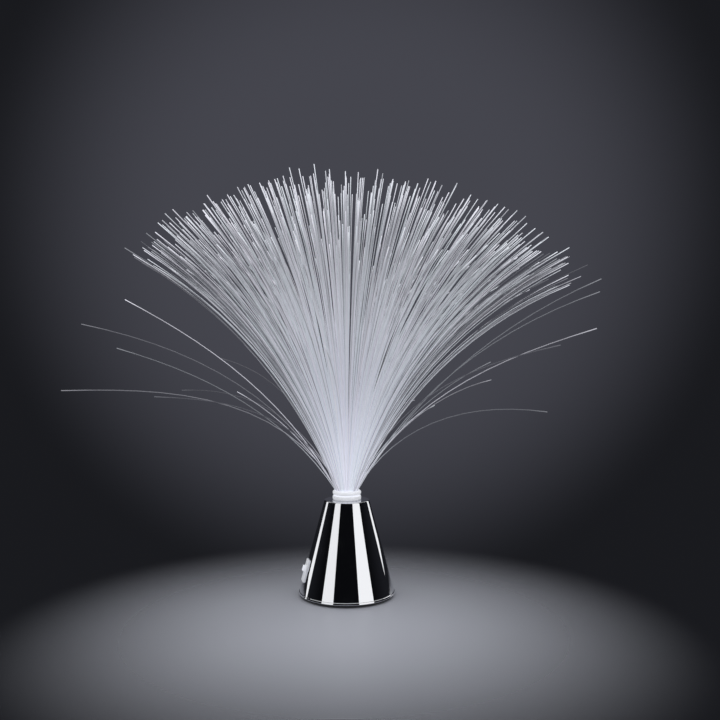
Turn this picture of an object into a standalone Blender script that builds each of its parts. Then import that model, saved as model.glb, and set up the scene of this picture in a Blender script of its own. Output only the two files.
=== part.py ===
"""Battery table lamp with a plug-in spray of light fibres on a plated cone.

Metres, +Z up. The origin is the centre of the face that the lamp rests on,
and the lamp is seen from -Y, with its switch on the -X flank.
"""
import math
import random

import bmesh
import bpy
from mathutils import Matrix, Vector
from mathutils.geometry import interpolate_bezier

# Clearances and cutting
GAP = 0.0003
CUT_OVERRUN = 0.001
MERGE_DISTANCE = 0.000001
SHARP_ANGLE = math.radians(35)

# Roundness, as numbers of sides
SHELL_SIDES = 60
RING_SIDES = 40
HIDDEN_SIDES = 20
SCREW_SIDES = 12

# Battery cells, lying side by side along X
CELL_COUNT = 3
CELL_RADIUS = 0.00525
CELL_LENGTH = 0.0445
CELL_NUB_RADIUS = 0.0019
CELL_NUB_HEIGHT = 0.0008
CELL_EDGE = 0.0005
CELL_REST = 0.0005
CONTACT_THICKNESS = 0.0004
CONTACT_HEIGHT = 0.0085
CONTACT_TAB_WIDTH = 0.0025
SPRING_ROOM = 0.0046
SPRING_WIRE_RADIUS = 0.0003
SPRING_WIDE_RADIUS = 0.0034
SPRING_NARROW_RADIUS = 0.002
SPRING_TURNS = 2.5
SPRING_POINTS_PER_TURN = 8

# Bottom cover with its battery pocket
FOOT_PROUD = 0.0008
COVER_EDGE = 0.0012
COVER_EDGE_INSET = 0.0006
COVER_CHAMFER = 0.0003
COVER_THICKNESS = 0.004
SPIGOT_RISE = 0.0025
SPIGOT_WALL = 0.0014
POCKET_WALL = 0.0012
POCKET_CLEARANCE = 0.0008
LEAD_HOLE_RADIUS = 0.0012

# Battery door
DOOR_THICKNESS = 0.0016
DOOR_OVERLAP = 0.0026
DOOR_SIDE_OVERLAP = 0.0014
DOOR_BARREL_RADIUS = 0.0013
DOOR_PIN_RADIUS = 0.0006
DOOR_PIN_LENGTH = 0.0012
DOOR_GRIP_RADIUS = 0.005
DOOR_GRIP_DEPTH = 0.001

# Feet
FOOT_RADIUS = 0.004
FOOT_SINK = 0.0012
FOOT_CHAMFER = 0.0003
FOOT_EDGE = 0.0022
FOOT_ANGLES = [math.radians(angle) for angle in (52, 128, 232, 308)]

# Cover screws and their bosses
BOSS_RADIUS = 0.0026
BOSS_BITE = 0.001
SCREW_ANGLES = [math.radians(angle) for angle in (73, 107, 253, 287)]
SCREW_HEAD_RADIUS = 0.0023
SCREW_HEAD_HEIGHT = 0.0016
SCREW_SINK = 0.0024
SCREW_RADIUS = 0.0012
SCREW_LENGTH = 0.009
SCREW_SLOT_WIDTH = 0.0006
SCREW_SLOT_DEPTH = 0.0008
SCREW_SLOT_SHARE = 0.7

# Cone shell
SHELL_HEIGHT = 0.0732
SHELL_TOP_RADIUS = 0.01775
SHELL_WALL = 0.0017
SHELL_RIM_ROUND = 0.0007
SHELL_LIP_HEIGHT = 0.0014
SHELL_LIP_OUT = 0.0003
DECK_THICKNESS = 0.002

# Socket, plug and light cup
COLLAR_RADIUS = 0.0113
COLLAR_HEIGHT = 0.0032
COLLAR_ROUND = 0.0005
SOCKET_RADIUS = 0.0103
SOCKET_WALL = 0.0011
SOCKET_DEPTH = 0.0105
LOCK_RING_RADIUS = 0.0127
LOCK_RING_HEIGHT = 0.0022
PLUG_WALL = 0.0009
PLUG_FLANGE_HEIGHT = 0.0037
PLUG_FLANGE_ROUND = 0.0009
PLUG_SHORT = 0.003
PLUG_MOUTH_DEPTH = 0.0025
PLUG_MOUTH_RADIUS = 0.0098
CUP_WALL = 0.001

# Light board
LED_RADIUS = 0.0025
LED_FLANGE_RADIUS = 0.0029
LED_FLANGE_HEIGHT = 0.001
LED_HEIGHT = 0.0086
LED_CLEARANCE = 0.0006
LED_SPACING = 0.0005
LED_PIN_WIDTH = 0.0005
LED_PIN_SPREAD = 0.00127
LED_PIN_LENGTH = 0.0026
BOARD_THICKNESS = 0.0016
BOARD_EDGE = 0.0006
POST_RADIUS = 0.0023
POST_CLEARANCE = 0.0005
POST_ANGLES = [math.radians(angle) for angle in (90, 210, 330)]
BOARD_SCREW_HEAD_RADIUS = 0.0021
BOARD_SCREW_HEAD_HEIGHT = 0.0013
BOARD_SCREW_RADIUS = 0.001
BOARD_SCREW_LENGTH = 0.006
CHIP_SIZE = (0.005, 0.004, 0.0015)
CHIP_PLACE = (-0.004, 0.005)
RESISTOR_SIZE = (0.0032, 0.0016, 0.0006)
RESISTOR_PLACE = (0.006, 0.006)

# Slide switch on the flank
SWITCH_ANGLE = math.radians(192)
SWITCH_LIFT = 0.0058
SWITCH_TRAVEL = 0.003
BEZEL_WIDTH = 0.0084
BEZEL_HEIGHT = 0.0176
BEZEL_PROUD = 0.0011
BEZEL_BEHIND = 0.0005
BEZEL_ROUND = 0.0007
KNOB_WIDTH = 0.0034
KNOB_HEIGHT = 0.0044
KNOB_PROUD = 0.002
KNOB_ROUND = 0.0004
KNOB_GROOVE = 0.0004
SLIDER_WIDTH = 0.0046
SLIDER_DEPTH = 0.0018
HOUSING_WALL = 0.0008
HOUSING_DEPTH = 0.0034
EAR_HEIGHT = 0.003
EAR_THICKNESS = 0.001
TERMINAL_SIZE = (0.0022, 0.0016, 0.0005)
TERMINAL_PITCH = 0.0024
SWITCH_SCREW_RADIUS = 0.0007
SWITCH_SCREW_HEAD_RADIUS = 0.0013
SWITCH_SCREW_HEAD_HEIGHT = 0.0008
SWITCH_SCREW_DEPTH = 0.0014

# Wires
WIRE_RADIUS = 0.00065
WIRE_GAP = 0.0004
WIRE_HANDLE_SHARE = 1 / 6

# Spray of light fibres
SLICE_COUNT = 6
SLICE_SIDES = 10
FIBRE_LENGTH = 0.2551
FIBRE_RADIUS = 0.00032
FIBRE_SIDES = 3
FIBRE_KNOT_SHARES = (0.25, 0.62, 1)
FIBRE_FINE_STEPS = 40
FIBRE_ROOT = 0.0006
FIBRE_PITCH = 0.0007
FIBRE_RING_PITCH = 0.00069
FIBRE_EDGE = 0.00005
ROOT_ANGLE = math.radians(22.3)
TIP_ANGLE = math.radians(64.8)
# The spray leans over a little more on its +X side, by these shares of the leans
ROOT_SIDE_SHARE = 0.049
TIP_SIDE_SHARE = 0.065
LEAN_SPREAD_SHARE = 0.02
LENGTH_SPREAD_SHARE = 0.05
FIBRE_SEED = 7
# Stray fibres: direction round the lamp, lean at root and tip, how early they bend, length share
STRAY_SHARES = [
    (math.radians(207), math.radians(27.3), math.radians(90.2), 1.77, 0.926),
    (math.radians(201), math.radians(27.5), math.radians(77.9), 1.27, 0.943),
    (math.radians(177), math.radians(27.5), math.radians(62), 1.48, 0.92),
    (math.radians(189), math.radians(32.6), math.radians(72.9), 1.37, 0.819),
    (math.radians(171), math.radians(30.3), math.radians(62), 1, 0.457),
    (math.radians(147), math.radians(27.5), math.radians(92), 1.47, 0.795),
    (math.radians(333), math.radians(28.9), math.radians(95.4), 1.23, 0.696),
    (math.radians(327), math.radians(29.7), math.radians(73.8), 1.55, 0.923),
    (math.radians(351), math.radians(27), math.radians(70.4), 1.12, 0.981),
    (math.radians(345), math.radians(29.8), math.radians(67.2), 1, 0.993),
    (math.radians(3), math.radians(27), math.radians(64.8), 1.02, 0.598),
    (math.radians(21), math.radians(30), math.radians(78.7), 1, 0.614),
    (math.radians(27), math.radians(27), math.radians(68), 1.04, 0.403),
    (math.radians(87), math.radians(28), math.radians(78), 1.4, 0.85),
    (math.radians(267), math.radians(28), math.radians(78), 1.4, 0.85),
    (math.radians(231), math.radians(31), math.radians(86), 1.6, 0.8),
    (math.radians(309), math.radians(30), math.radians(80), 1.5, 0.93),
    (math.radians(129), math.radians(30), math.radians(82), 1.5, 0.91),
    (math.radians(63), math.radians(29), math.radians(88), 1.3, 0.6),
]

# Heights that follow from the sizes above
COVER_BOTTOM = FOOT_PROUD
COVER_TOP = COVER_BOTTOM + COVER_THICKNESS
SHELL_BOTTOM = COVER_BOTTOM + COVER_EDGE + GAP
DECK_TOP = SHELL_BOTTOM + SHELL_HEIGHT
DECK_BOTTOM = DECK_TOP - DECK_THICKNESS
CELL_AXIS = COVER_BOTTOM + DOOR_THICKNESS + CELL_REST + CELL_RADIUS
POCKET_ROOF = CELL_AXIS + CELL_RADIUS + GAP
POCKET_TOP = POCKET_ROOF + POCKET_WALL
COLLAR_BOTTOM = DECK_TOP + GAP
COLLAR_TOP = COLLAR_BOTTOM + COLLAR_HEIGHT
SOCKET_BOTTOM = DECK_BOTTOM - SOCKET_DEPTH
FLANGE_BOTTOM = COLLAR_TOP + GAP
FLANGE_TOP = FLANGE_BOTTOM + PLUG_FLANGE_HEIGHT
PLUG_BOTTOM = SOCKET_BOTTOM + PLUG_SHORT
CORE_TOP = FLANGE_TOP - PLUG_MOUTH_DEPTH
BOARD_TOP = PLUG_BOTTOM - LED_CLEARANCE - LED_HEIGHT - GAP
BOARD_BOTTOM = BOARD_TOP - BOARD_THICKNESS

# Widths that follow from the sizes above
CELL_PITCH = 2 * CELL_RADIUS + GAP
POCKET_LENGTH = 3 * GAP + 2 * CONTACT_THICKNESS + SPRING_ROOM + CELL_LENGTH
POCKET_WIDTH = (CELL_COUNT - 1) * CELL_PITCH + 2 * CELL_RADIUS + 2 * GAP
POCKET_CORNER = math.hypot(POCKET_LENGTH / 2 + POCKET_WALL, POCKET_WIDTH / 2 + POCKET_WALL)
DOOR_LENGTH = POCKET_LENGTH + 2 * DOOR_OVERLAP
DOOR_WIDTH = POCKET_WIDTH + 2 * DOOR_SIDE_OVERLAP
DOOR_AXIS_X = -DOOR_LENGTH / 2 + DOOR_BARREL_RADIUS
DOOR_AXIS_Z = COVER_BOTTOM + DOOR_BARREL_RADIUS
SHELL_SLOPE = (POCKET_CORNER + POCKET_CLEARANCE + SHELL_WALL - SHELL_TOP_RADIUS) / (DECK_TOP - POCKET_TOP)
SHELL_BOTTOM_RADIUS = SHELL_TOP_RADIUS + SHELL_SLOPE * SHELL_HEIGHT
COVER_RADIUS = SHELL_BOTTOM_RADIUS - COVER_EDGE_INSET
SPIGOT_TOP = COVER_TOP + SPIGOT_RISE
FOOT_CIRCLE = COVER_RADIUS - FOOT_EDGE - FOOT_RADIUS
SOCKET_BORE = SOCKET_RADIUS - SOCKET_WALL
PLUG_RADIUS = SOCKET_BORE - GAP
PLUG_BORE = PLUG_RADIUS - PLUG_WALL
CORE_RADIUS = PLUG_BORE - GAP
POST_CIRCLE = LOCK_RING_RADIUS + POST_CLEARANCE + POST_RADIUS
BOARD_RADIUS = POST_CIRCLE + POST_RADIUS + BOARD_EDGE
BEZEL_DEPTH = BEZEL_PROUD + SHELL_WALL + BEZEL_BEHIND


def shell_radius(height):
    """Outer radius of the cone's flank at a height above the table."""
    return SHELL_TOP_RADIUS + SHELL_SLOPE * (DECK_TOP - height)


SPIGOT_RADIUS = shell_radius(SPIGOT_TOP) - SHELL_WALL - GAP
SCREW_CIRCLE = SPIGOT_RADIUS - SPIGOT_WALL - GAP - BOSS_RADIUS
BOSS_REACH = SCREW_CIRCLE + BOSS_RADIUS - BOSS_BITE
BOSS_TOP = DECK_TOP - (BOSS_REACH + SHELL_WALL - SHELL_TOP_RADIUS) / SHELL_SLOPE


def clear_scene():
    """Remove whatever the file holds, so that the lamp is built on its own."""
    for existing in list(bpy.data.objects):
        bpy.data.objects.remove(existing, do_unlink=True)


def material(name, colour, roughness, metallic=0.0):
    """A plain surface with the colour, roughness and metallic value of its piece."""
    made = bpy.data.materials.new(name)
    made.use_nodes = True
    shader = made.node_tree.nodes["Principled BSDF"]
    shader.inputs["Base Color"].default_value = (*colour, 1.0)
    shader.inputs["Roughness"].default_value = roughness
    shader.inputs["Metallic"].default_value = metallic
    return made


def new_object(name, bm, surface=None):
    """Turn a bmesh into a named object, facing out and shaded smooth between sharp edges."""
    bmesh.ops.remove_doubles(bm, verts=bm.verts, dist=MERGE_DISTANCE)
    bmesh.ops.recalc_face_normals(bm, faces=bm.faces)
    mesh = bpy.data.meshes.new(name)
    bm.to_mesh(mesh)
    bm.free()
    mesh.shade_smooth()
    mesh.set_sharp_from_angle(angle=SHARP_ANGLE)
    made = bpy.data.objects.new(name, mesh)
    bpy.context.scene.collection.objects.link(made)
    if surface:
        mesh.materials.append(surface)
    return made


def turned(name, outline, sides, surface=None, centre=(0, 0)):
    """A solid of revolution about a vertical line, from a closed outline of radius and height."""
    bm = bmesh.new()
    corners = [bm.verts.new((radius, 0, height)) for radius, height in outline]
    edges = [bm.edges.new((corners[i - 1], corners[i])) for i in range(len(corners))]
    bmesh.ops.spin(
        bm, geom=corners + edges, cent=(0, 0, 0), axis=(0, 0, 1), angle=math.tau, steps=sides, use_merge=True
    )
    bmesh.ops.translate(bm, verts=bm.verts, vec=(*centre, 0))
    bmesh.ops.remove_doubles(bm, verts=bm.verts, dist=MERGE_DISTANCE)
    flat = [edge for edge in bm.edges if edge.calc_length() < MERGE_DISTANCE or not edge.link_faces]
    bmesh.ops.delete(bm, geom=flat, context="EDGES")
    return new_object(name, bm, surface)


def box(name, low, high, surface=None, bevel=0.0):
    """A block between two corners, its edges bevelled where a width is given."""
    bm = bmesh.new()
    bmesh.ops.create_cube(bm, size=1)
    size = [b - a for a, b in zip(low, high)]
    centre = [(a + b) / 2 for a, b in zip(low, high)]
    bmesh.ops.scale(bm, verts=bm.verts, vec=size)
    bmesh.ops.translate(bm, verts=bm.verts, vec=centre)
    if bevel:
        bmesh.ops.bevel(bm, geom=bm.edges, offset=bevel, segments=1, affect="EDGES")
    return new_object(name, bm, surface)


def rod(name, radius, low, high, sides, surface=None, centre=(0, 0)):
    """An upright cylinder between two heights."""
    outline = [(0, low), (radius, low), (radius, high), (0, high)]
    return turned(name, outline, sides, surface, centre)


def combined(name, pieces):
    """Join several separate shapes into one object, as one cutter or one group."""
    bm = bmesh.new()
    for piece in pieces:
        piece.data.transform(piece.matrix_world)
        bm.from_mesh(piece.data)
        bpy.data.objects.remove(piece, do_unlink=True)
    return new_object(name, bm)


def boolean(target, other, operation, many=False):
    """Add or cut one shape with a modifier, and hide the shape that was used.

    A shape made of many shells at once needs the solver's own test for self intersection.
    """
    change = target.modifiers.new(other.name, "BOOLEAN")
    change.operation = operation
    change.solver = "EXACT"
    change.use_self = many
    change.object = other
    other.display_type = "WIRE"
    other.hide_render = True


def cut(target, other):
    boolean(target, other, "DIFFERENCE")


def add(target, other):
    boolean(target, other, "UNION")


def around(radius, angle):
    """A point on a circle about the lamp's axis."""
    return (radius * math.cos(angle), radius * math.sin(angle))


def screw(name, radius, length, head_radius, head_height, surface, slots=1):
    """A screw that points up from the origin, its head below with one slot or a cross."""
    outline = [
        (0, -head_height),
        (head_radius * SCREW_SLOT_SHARE, -head_height),
        (head_radius, -head_height / 2),
        (head_radius, 0),
        (radius, 0),
        (radius, length),
        (0, length),
    ]
    made = turned(name, outline, SCREW_SIDES, surface)
    reach = head_radius * SCREW_SLOT_SHARE
    half = SCREW_SLOT_WIDTH / 2
    low = -head_height - CUT_OVERRUN
    high = -head_height + min(SCREW_SLOT_DEPTH, head_height / 2)
    for turn, (x, y) in enumerate([(reach, half), (half, reach)][:slots], 1):
        slot = box(f"cut_{name}_slot_{turn}", (-x, -y, low), (x, y, high))
        slot.parent = made
        cut(made, slot)
    return made


def build_shell(chrome):
    """The plated cone: one shell with its deck, screw bosses, board posts and switch window."""
    inner_top = shell_radius(DECK_BOTTOM) - SHELL_WALL
    lip_top = SHELL_BOTTOM + SHELL_LIP_HEIGHT
    rim = SHELL_RIM_ROUND
    outline = [
        (shell_radius(SHELL_BOTTOM) - SHELL_WALL, SHELL_BOTTOM),
        (shell_radius(SHELL_BOTTOM), SHELL_BOTTOM),
        (shell_radius(SHELL_BOTTOM) + SHELL_LIP_OUT, SHELL_BOTTOM + SHELL_LIP_OUT),
        (shell_radius(lip_top) + SHELL_LIP_OUT, lip_top),
        (shell_radius(lip_top), lip_top + SHELL_LIP_OUT),
        (shell_radius(DECK_TOP - rim), DECK_TOP - rim),
        (shell_radius(DECK_TOP - rim) - rim / 3, DECK_TOP - rim / 3),
        (shell_radius(DECK_TOP - rim) - rim, DECK_TOP),
        (SOCKET_RADIUS + GAP, DECK_TOP),
        (SOCKET_RADIUS + GAP, DECK_BOTTOM),
        (inner_top, DECK_BOTTOM),
    ]
    shell = turned("cone_shell", outline, SHELL_SIDES, chrome)
    boss_low = COVER_TOP + GAP
    for number, angle in enumerate(SCREW_ANGLES, 1):
        place = around(SCREW_CIRCLE, angle)
        add(shell, rod(f"add_boss_{number}", BOSS_RADIUS, boss_low, BOSS_TOP, SCREW_SIDES, None, place))
    post_low = BOARD_TOP + GAP
    for number, angle in enumerate(POST_ANGLES, 1):
        place = around(POST_CIRCLE, angle)
        post_high = DECK_BOTTOM + DECK_THICKNESS / 2
        add(shell, rod(f"add_post_{number}", POST_RADIUS, post_low, post_high, SCREW_SIDES, None, place))
    boss_bores = [
        rod(
            f"bore_{number}",
            SCREW_RADIUS + GAP,
            boss_low - CUT_OVERRUN,
            boss_low + SCREW_LENGTH,
            SCREW_SIDES,
            None,
            around(SCREW_CIRCLE, angle),
        )
        for number, angle in enumerate(SCREW_ANGLES, 1)
    ]
    post_bores = [
        rod(
            f"post_bore_{number}",
            BOARD_SCREW_RADIUS + GAP,
            post_low - CUT_OVERRUN,
            post_low + BOARD_SCREW_LENGTH,
            SCREW_SIDES,
            None,
            around(POST_CIRCLE, angle),
        )
        for number, angle in enumerate(POST_ANGLES, 1)
    ]
    cut(shell, combined("cut_shell_bores", boss_bores + post_bores))
    window = box(
        "cut_switch_window",
        (-HOUSING_DEPTH, -BEZEL_WIDTH / 2 - GAP, -BEZEL_HEIGHT / 2 - GAP),
        (BEZEL_PROUD + CUT_OVERRUN, BEZEL_WIDTH / 2 + GAP, BEZEL_HEIGHT / 2 + GAP),
    )
    window.matrix_world = switch_frame()
    cut(shell, window)
    return shell


def build_cover(black):
    """The bottom cover: a disc with a spigot ring and the battery pocket standing on it."""
    outline = [
        (0, COVER_BOTTOM),
        (COVER_RADIUS - COVER_CHAMFER, COVER_BOTTOM),
        (COVER_RADIUS, COVER_BOTTOM + COVER_CHAMFER),
        (COVER_RADIUS, COVER_BOTTOM + COVER_EDGE),
        (SPIGOT_RADIUS, COVER_BOTTOM + COVER_EDGE),
        (SPIGOT_RADIUS, SPIGOT_TOP),
        (SPIGOT_RADIUS - SPIGOT_WALL, SPIGOT_TOP),
        (SPIGOT_RADIUS - SPIGOT_WALL, COVER_TOP),
        (0, COVER_TOP),
    ]
    cover = turned("bottom_cover", outline, SHELL_SIDES, black)
    half_length = POCKET_LENGTH / 2
    half_width = POCKET_WIDTH / 2
    outside = box(
        "add_pocket",
        (-half_length - POCKET_WALL, -half_width - POCKET_WALL, COVER_TOP - COVER_THICKNESS / 2),
        (half_length + POCKET_WALL, half_width + POCKET_WALL, POCKET_TOP),
    )
    add(cover, outside)
    inside = box(
        "cut_pocket",
        (-half_length, -half_width, COVER_BOTTOM - CUT_OVERRUN),
        (half_length, half_width, POCKET_ROOF),
    )
    cut(cover, inside)
    recess = box(
        "cut_door_recess",
        (-DOOR_LENGTH / 2 - GAP, -DOOR_WIDTH / 2 - GAP, COVER_BOTTOM - CUT_OVERRUN),
        (DOOR_LENGTH / 2 + GAP, DOOR_WIDTH / 2 + GAP, COVER_BOTTOM + DOOR_THICKNESS + GAP),
    )
    cut(cover, recess)
    groove = box(
        "cut_hinge_groove",
        (-DOOR_LENGTH / 2 - GAP, -DOOR_WIDTH / 2 - GAP, COVER_BOTTOM - CUT_OVERRUN),
        (DOOR_AXIS_X + DOOR_BARREL_RADIUS, DOOR_WIDTH / 2 + GAP, DOOR_AXIS_Z + DOOR_BARREL_RADIUS + GAP),
    )
    cut(cover, groove)
    pin_reach = DOOR_WIDTH / 2 + DOOR_PIN_LENGTH + GAP
    pin_bore = rod("cut_pin_bore", DOOR_PIN_RADIUS + GAP, -pin_reach, pin_reach, SCREW_SIDES)
    pin_bore.matrix_world = hinge_frame()
    cut(cover, pin_bore)
    grip_low = COVER_BOTTOM - CUT_OVERRUN
    grip_high = COVER_BOTTOM + DOOR_GRIP_DEPTH
    grip_place = (DOOR_LENGTH / 2, 0)
    cut(cover, rod("cut_grip", DOOR_GRIP_RADIUS, grip_low, grip_high, HIDDEN_SIDES, None, grip_place))
    sinks = []
    bores = []
    for number, angle in enumerate(SCREW_ANGLES, 1):
        place = around(SCREW_CIRCLE, angle)
        sink_radius = SCREW_HEAD_RADIUS + GAP
        sink_top = COVER_BOTTOM + SCREW_SINK
        low = COVER_BOTTOM - CUT_OVERRUN
        sinks.append(rod(f"sink_{number}", sink_radius, low, sink_top, SCREW_SIDES, None, place))
        high = COVER_TOP + CUT_OVERRUN
        bores.append(rod(f"hole_{number}", SCREW_RADIUS + GAP, low, high, SCREW_SIDES, None, place))
    for number, angle in enumerate(FOOT_ANGLES, 1):
        place = around(FOOT_CIRCLE, angle)
        top = COVER_BOTTOM + FOOT_SINK
        low = COVER_BOTTOM - CUT_OVERRUN
        sinks.append(rod(f"seat_{number}", FOOT_RADIUS + GAP, low, top, HIDDEN_SIDES, None, place))
    for number, place in enumerate(lead_holes(), 1):
        low = POCKET_ROOF - CUT_OVERRUN
        high = POCKET_TOP + CUT_OVERRUN
        bores.append(rod(f"lead_hole_{number}", LEAD_HOLE_RADIUS, low, high, SCREW_SIDES, None, place))
    cut(cover, combined("cut_cover_sinks", sinks))
    cut(cover, combined("cut_cover_bores", bores))
    return cover


def build_feet(rubber):
    """Four rubber pads let into the cover, which the lamp rests on."""
    top = COVER_BOTTOM + FOOT_SINK - GAP
    outline = [
        (0, 0),
        (FOOT_RADIUS - FOOT_CHAMFER, 0),
        (FOOT_RADIUS, FOOT_CHAMFER),
        (FOOT_RADIUS, top),
        (0, top),
    ]
    for number, angle in enumerate(FOOT_ANGLES, 1):
        turned(f"foot_pad_{number}", outline, HIDDEN_SIDES, rubber, around(FOOT_CIRCLE, angle))


def build_cover_screws(steel):
    """Four screws through the cover into the shell's bosses, their heads sunk."""
    for number, angle in enumerate(SCREW_ANGLES, 1):
        made = screw(
            f"cover_screw_{number}",
            SCREW_RADIUS,
            SCREW_LENGTH,
            SCREW_HEAD_RADIUS,
            SCREW_HEAD_HEIGHT,
            steel,
            slots=2,
        )
        made.location = (*around(SCREW_CIRCLE, angle), COVER_BOTTOM + SCREW_SINK - GAP)


def hinge_frame():
    """The door's hinge line: local Z lies along the lamp's Y."""
    return Matrix.Translation((DOOR_AXIS_X, 0, DOOR_AXIS_Z)) @ Matrix.Rotation(-math.pi / 2, 4, "X")


def build_door(black):
    """The battery door, with a round barrel and two pins on its hinge line."""
    low = (0, -DOOR_WIDTH / 2, -DOOR_BARREL_RADIUS)
    high = (DOOR_LENGTH - DOOR_BARREL_RADIUS, DOOR_WIDTH / 2, DOOR_THICKNESS - DOOR_BARREL_RADIUS)
    door = box("battery_door", low, high, black)
    barrel = rod("add_door_barrel", DOOR_BARREL_RADIUS, -DOOR_WIDTH / 2, DOOR_WIDTH / 2, SCREW_SIDES)
    pin_end = DOOR_WIDTH / 2 + DOOR_PIN_LENGTH
    pins = rod("add_door_pins", DOOR_PIN_RADIUS, -pin_end, pin_end, SCREW_SIDES)
    for piece in (barrel, pins):
        piece.rotation_euler = (-math.pi / 2, 0, 0)
        piece.parent = door
        add(door, piece)
    door.location = (DOOR_AXIS_X, 0, DOOR_AXIS_Z)
    return door


def cell_row(number):
    """Y of a cell's axis, and which way its button end points along X."""
    row = (number - (CELL_COUNT - 1) / 2) * CELL_PITCH
    facing = 1 if number % 2 == 0 else -1
    return row, facing


def build_cells(wrap):
    """Three cells with their button ends turned in alternate directions."""
    body = CELL_LENGTH - CELL_NUB_HEIGHT
    outline = [
        (0, 0),
        (CELL_RADIUS - CELL_EDGE, 0),
        (CELL_RADIUS, CELL_EDGE),
        (CELL_RADIUS, body - CELL_EDGE),
        (CELL_RADIUS - CELL_EDGE, body),
        (CELL_NUB_RADIUS, body),
        (CELL_NUB_RADIUS, CELL_LENGTH),
        (0, CELL_LENGTH),
    ]
    for number in range(CELL_COUNT):
        row, facing = cell_row(number)
        button_end = POCKET_LENGTH / 2 - 2 * GAP - CONTACT_THICKNESS
        cell = turned(f"battery_cell_{number + 1}", outline, HIDDEN_SIDES, wrap)
        cell.rotation_euler = (0, facing * math.pi / 2, 0)
        cell.location = (facing * (button_end - CELL_LENGTH), row, CELL_AXIS)


def tab_places():
    """X and Y of the two terminal tabs that rise through the pocket's roof."""
    end = POCKET_LENGTH / 2 - GAP - CONTACT_THICKNESS / 2
    first = cell_row(0)[0]
    last = cell_row(CELL_COUNT - 1)[0]
    return (end, first), (-end, last)


def lead_holes():
    """Where the pocket's roof is open, so that the two tabs pass through it."""
    inset = LEAD_HOLE_RADIUS
    (positive_x, positive_y), (negative_x, negative_y) = tab_places()
    return (positive_x - inset, positive_y), (negative_x + inset, negative_y)


def contact_plate(name, side, low_row, high_row, tab, metal):
    """A thin end plate across one or two cells, with a solder tab where a lead joins it."""
    outer = POCKET_LENGTH / 2 - GAP
    faces = sorted((side * outer, side * (outer - CONTACT_THICKNESS)))
    half = CELL_RADIUS - GAP
    low_z = CELL_AXIS - CONTACT_HEIGHT / 2
    high_z = CELL_AXIS + CONTACT_HEIGHT / 2
    plate = box(name, (faces[0], low_row - half, low_z), (faces[1], high_row + half, high_z), metal)
    if tab:
        width = CONTACT_TAB_WIDTH / 2
        low = (faces[0], low_row - width, high_z - CONTACT_THICKNESS)
        high = (faces[1], low_row + width, POCKET_ROOF - GAP)
        add(plate, box(f"add_{name}_tab", low, high))
    return plate


def build_contacts(nickel):
    """End plates of the battery pocket: two terminals, two links and three springs."""
    rows = [cell_row(number)[0] for number in range(CELL_COUNT)]
    contact_plate("contact_terminal_positive", 1, rows[0], rows[0], True, nickel)
    contact_plate("contact_link_right", 1, rows[1], rows[2], False, nickel)
    contact_plate("contact_link_left", -1, rows[0], rows[1], False, nickel)
    contact_plate("contact_terminal_negative", -1, rows[2], rows[2], True, nickel)
    for number in range(CELL_COUNT):
        row, facing = cell_row(number)
        build_spring(f"contact_spring_{number + 1}", row, -facing, nickel)


def build_spring(name, row, side, nickel):
    """A conical spring from its end plate, on one side of the pocket, to the cell."""
    count = round(SPRING_TURNS * SPRING_POINTS_PER_TURN)
    plate = POCKET_LENGTH / 2 - GAP - CONTACT_THICKNESS
    start = plate - GAP - SPRING_WIRE_RADIUS
    run = SPRING_ROOM - 2 * GAP - 2 * SPRING_WIRE_RADIUS
    points = []
    for step in range(count + 1):
        share = step / count
        angle = math.tau * step / SPRING_POINTS_PER_TURN
        radius = SPRING_WIDE_RADIUS + share * (SPRING_NARROW_RADIUS - SPRING_WIDE_RADIUS)
        x = side * (start - share * run)
        points.append((x, row + radius * math.cos(angle), CELL_AXIS + radius * math.sin(angle)))
    return wire(name, points, SPRING_WIRE_RADIUS, 1, nickel)


def wire(name, points, radius, resolution, surface):
    """A round wire along a chain of points, with filled ends."""
    curve = bpy.data.curves.new(name, "CURVE")
    curve.dimensions = "3D"
    curve.bevel_depth = radius
    curve.bevel_resolution = resolution
    curve.use_fill_caps = True
    spline = curve.splines.new("POLY")
    spline.points.add(len(points) - 1)
    for point, place in zip(spline.points, points):
        point.co = (*place, 1)
    curve.materials.append(surface)
    made = bpy.data.objects.new(name, curve)
    bpy.context.scene.collection.objects.link(made)
    return made


def build_socket(white):
    """The fixed white ring: a collar on the deck and a sleeve through it."""
    r = COLLAR_ROUND
    outline = [
        (SOCKET_BORE, SOCKET_BOTTOM),
        (SOCKET_RADIUS, SOCKET_BOTTOM),
        (SOCKET_RADIUS, COLLAR_BOTTOM),
        (COLLAR_RADIUS - r, COLLAR_BOTTOM),
        (COLLAR_RADIUS, COLLAR_BOTTOM + r),
        (COLLAR_RADIUS, COLLAR_TOP - r),
        (COLLAR_RADIUS - r, COLLAR_TOP),
        (SOCKET_BORE, COLLAR_TOP),
    ]
    return turned("socket_collar", outline, RING_SIDES, white)


def build_lock_ring(black):
    """The ring pushed onto the sleeve from below, which holds the socket in the deck."""
    top = DECK_BOTTOM - GAP
    outline = [
        (SOCKET_RADIUS + GAP, top - LOCK_RING_HEIGHT),
        (LOCK_RING_RADIUS, top - LOCK_RING_HEIGHT),
        (LOCK_RING_RADIUS, top),
        (SOCKET_RADIUS + GAP, top),
    ]
    return turned("socket_lock_ring", outline, HIDDEN_SIDES, black)


def build_light_cup(white):
    """A short tube that closes the space between board and socket."""
    outer = SOCKET_RADIUS
    outline = [
        (outer - CUP_WALL, BOARD_TOP + GAP),
        (outer, BOARD_TOP + GAP),
        (outer, SOCKET_BOTTOM - GAP),
        (outer - CUP_WALL, SOCKET_BOTTOM - GAP),
    ]
    return turned("light_cup", outline, HIDDEN_SIDES, white)


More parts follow.
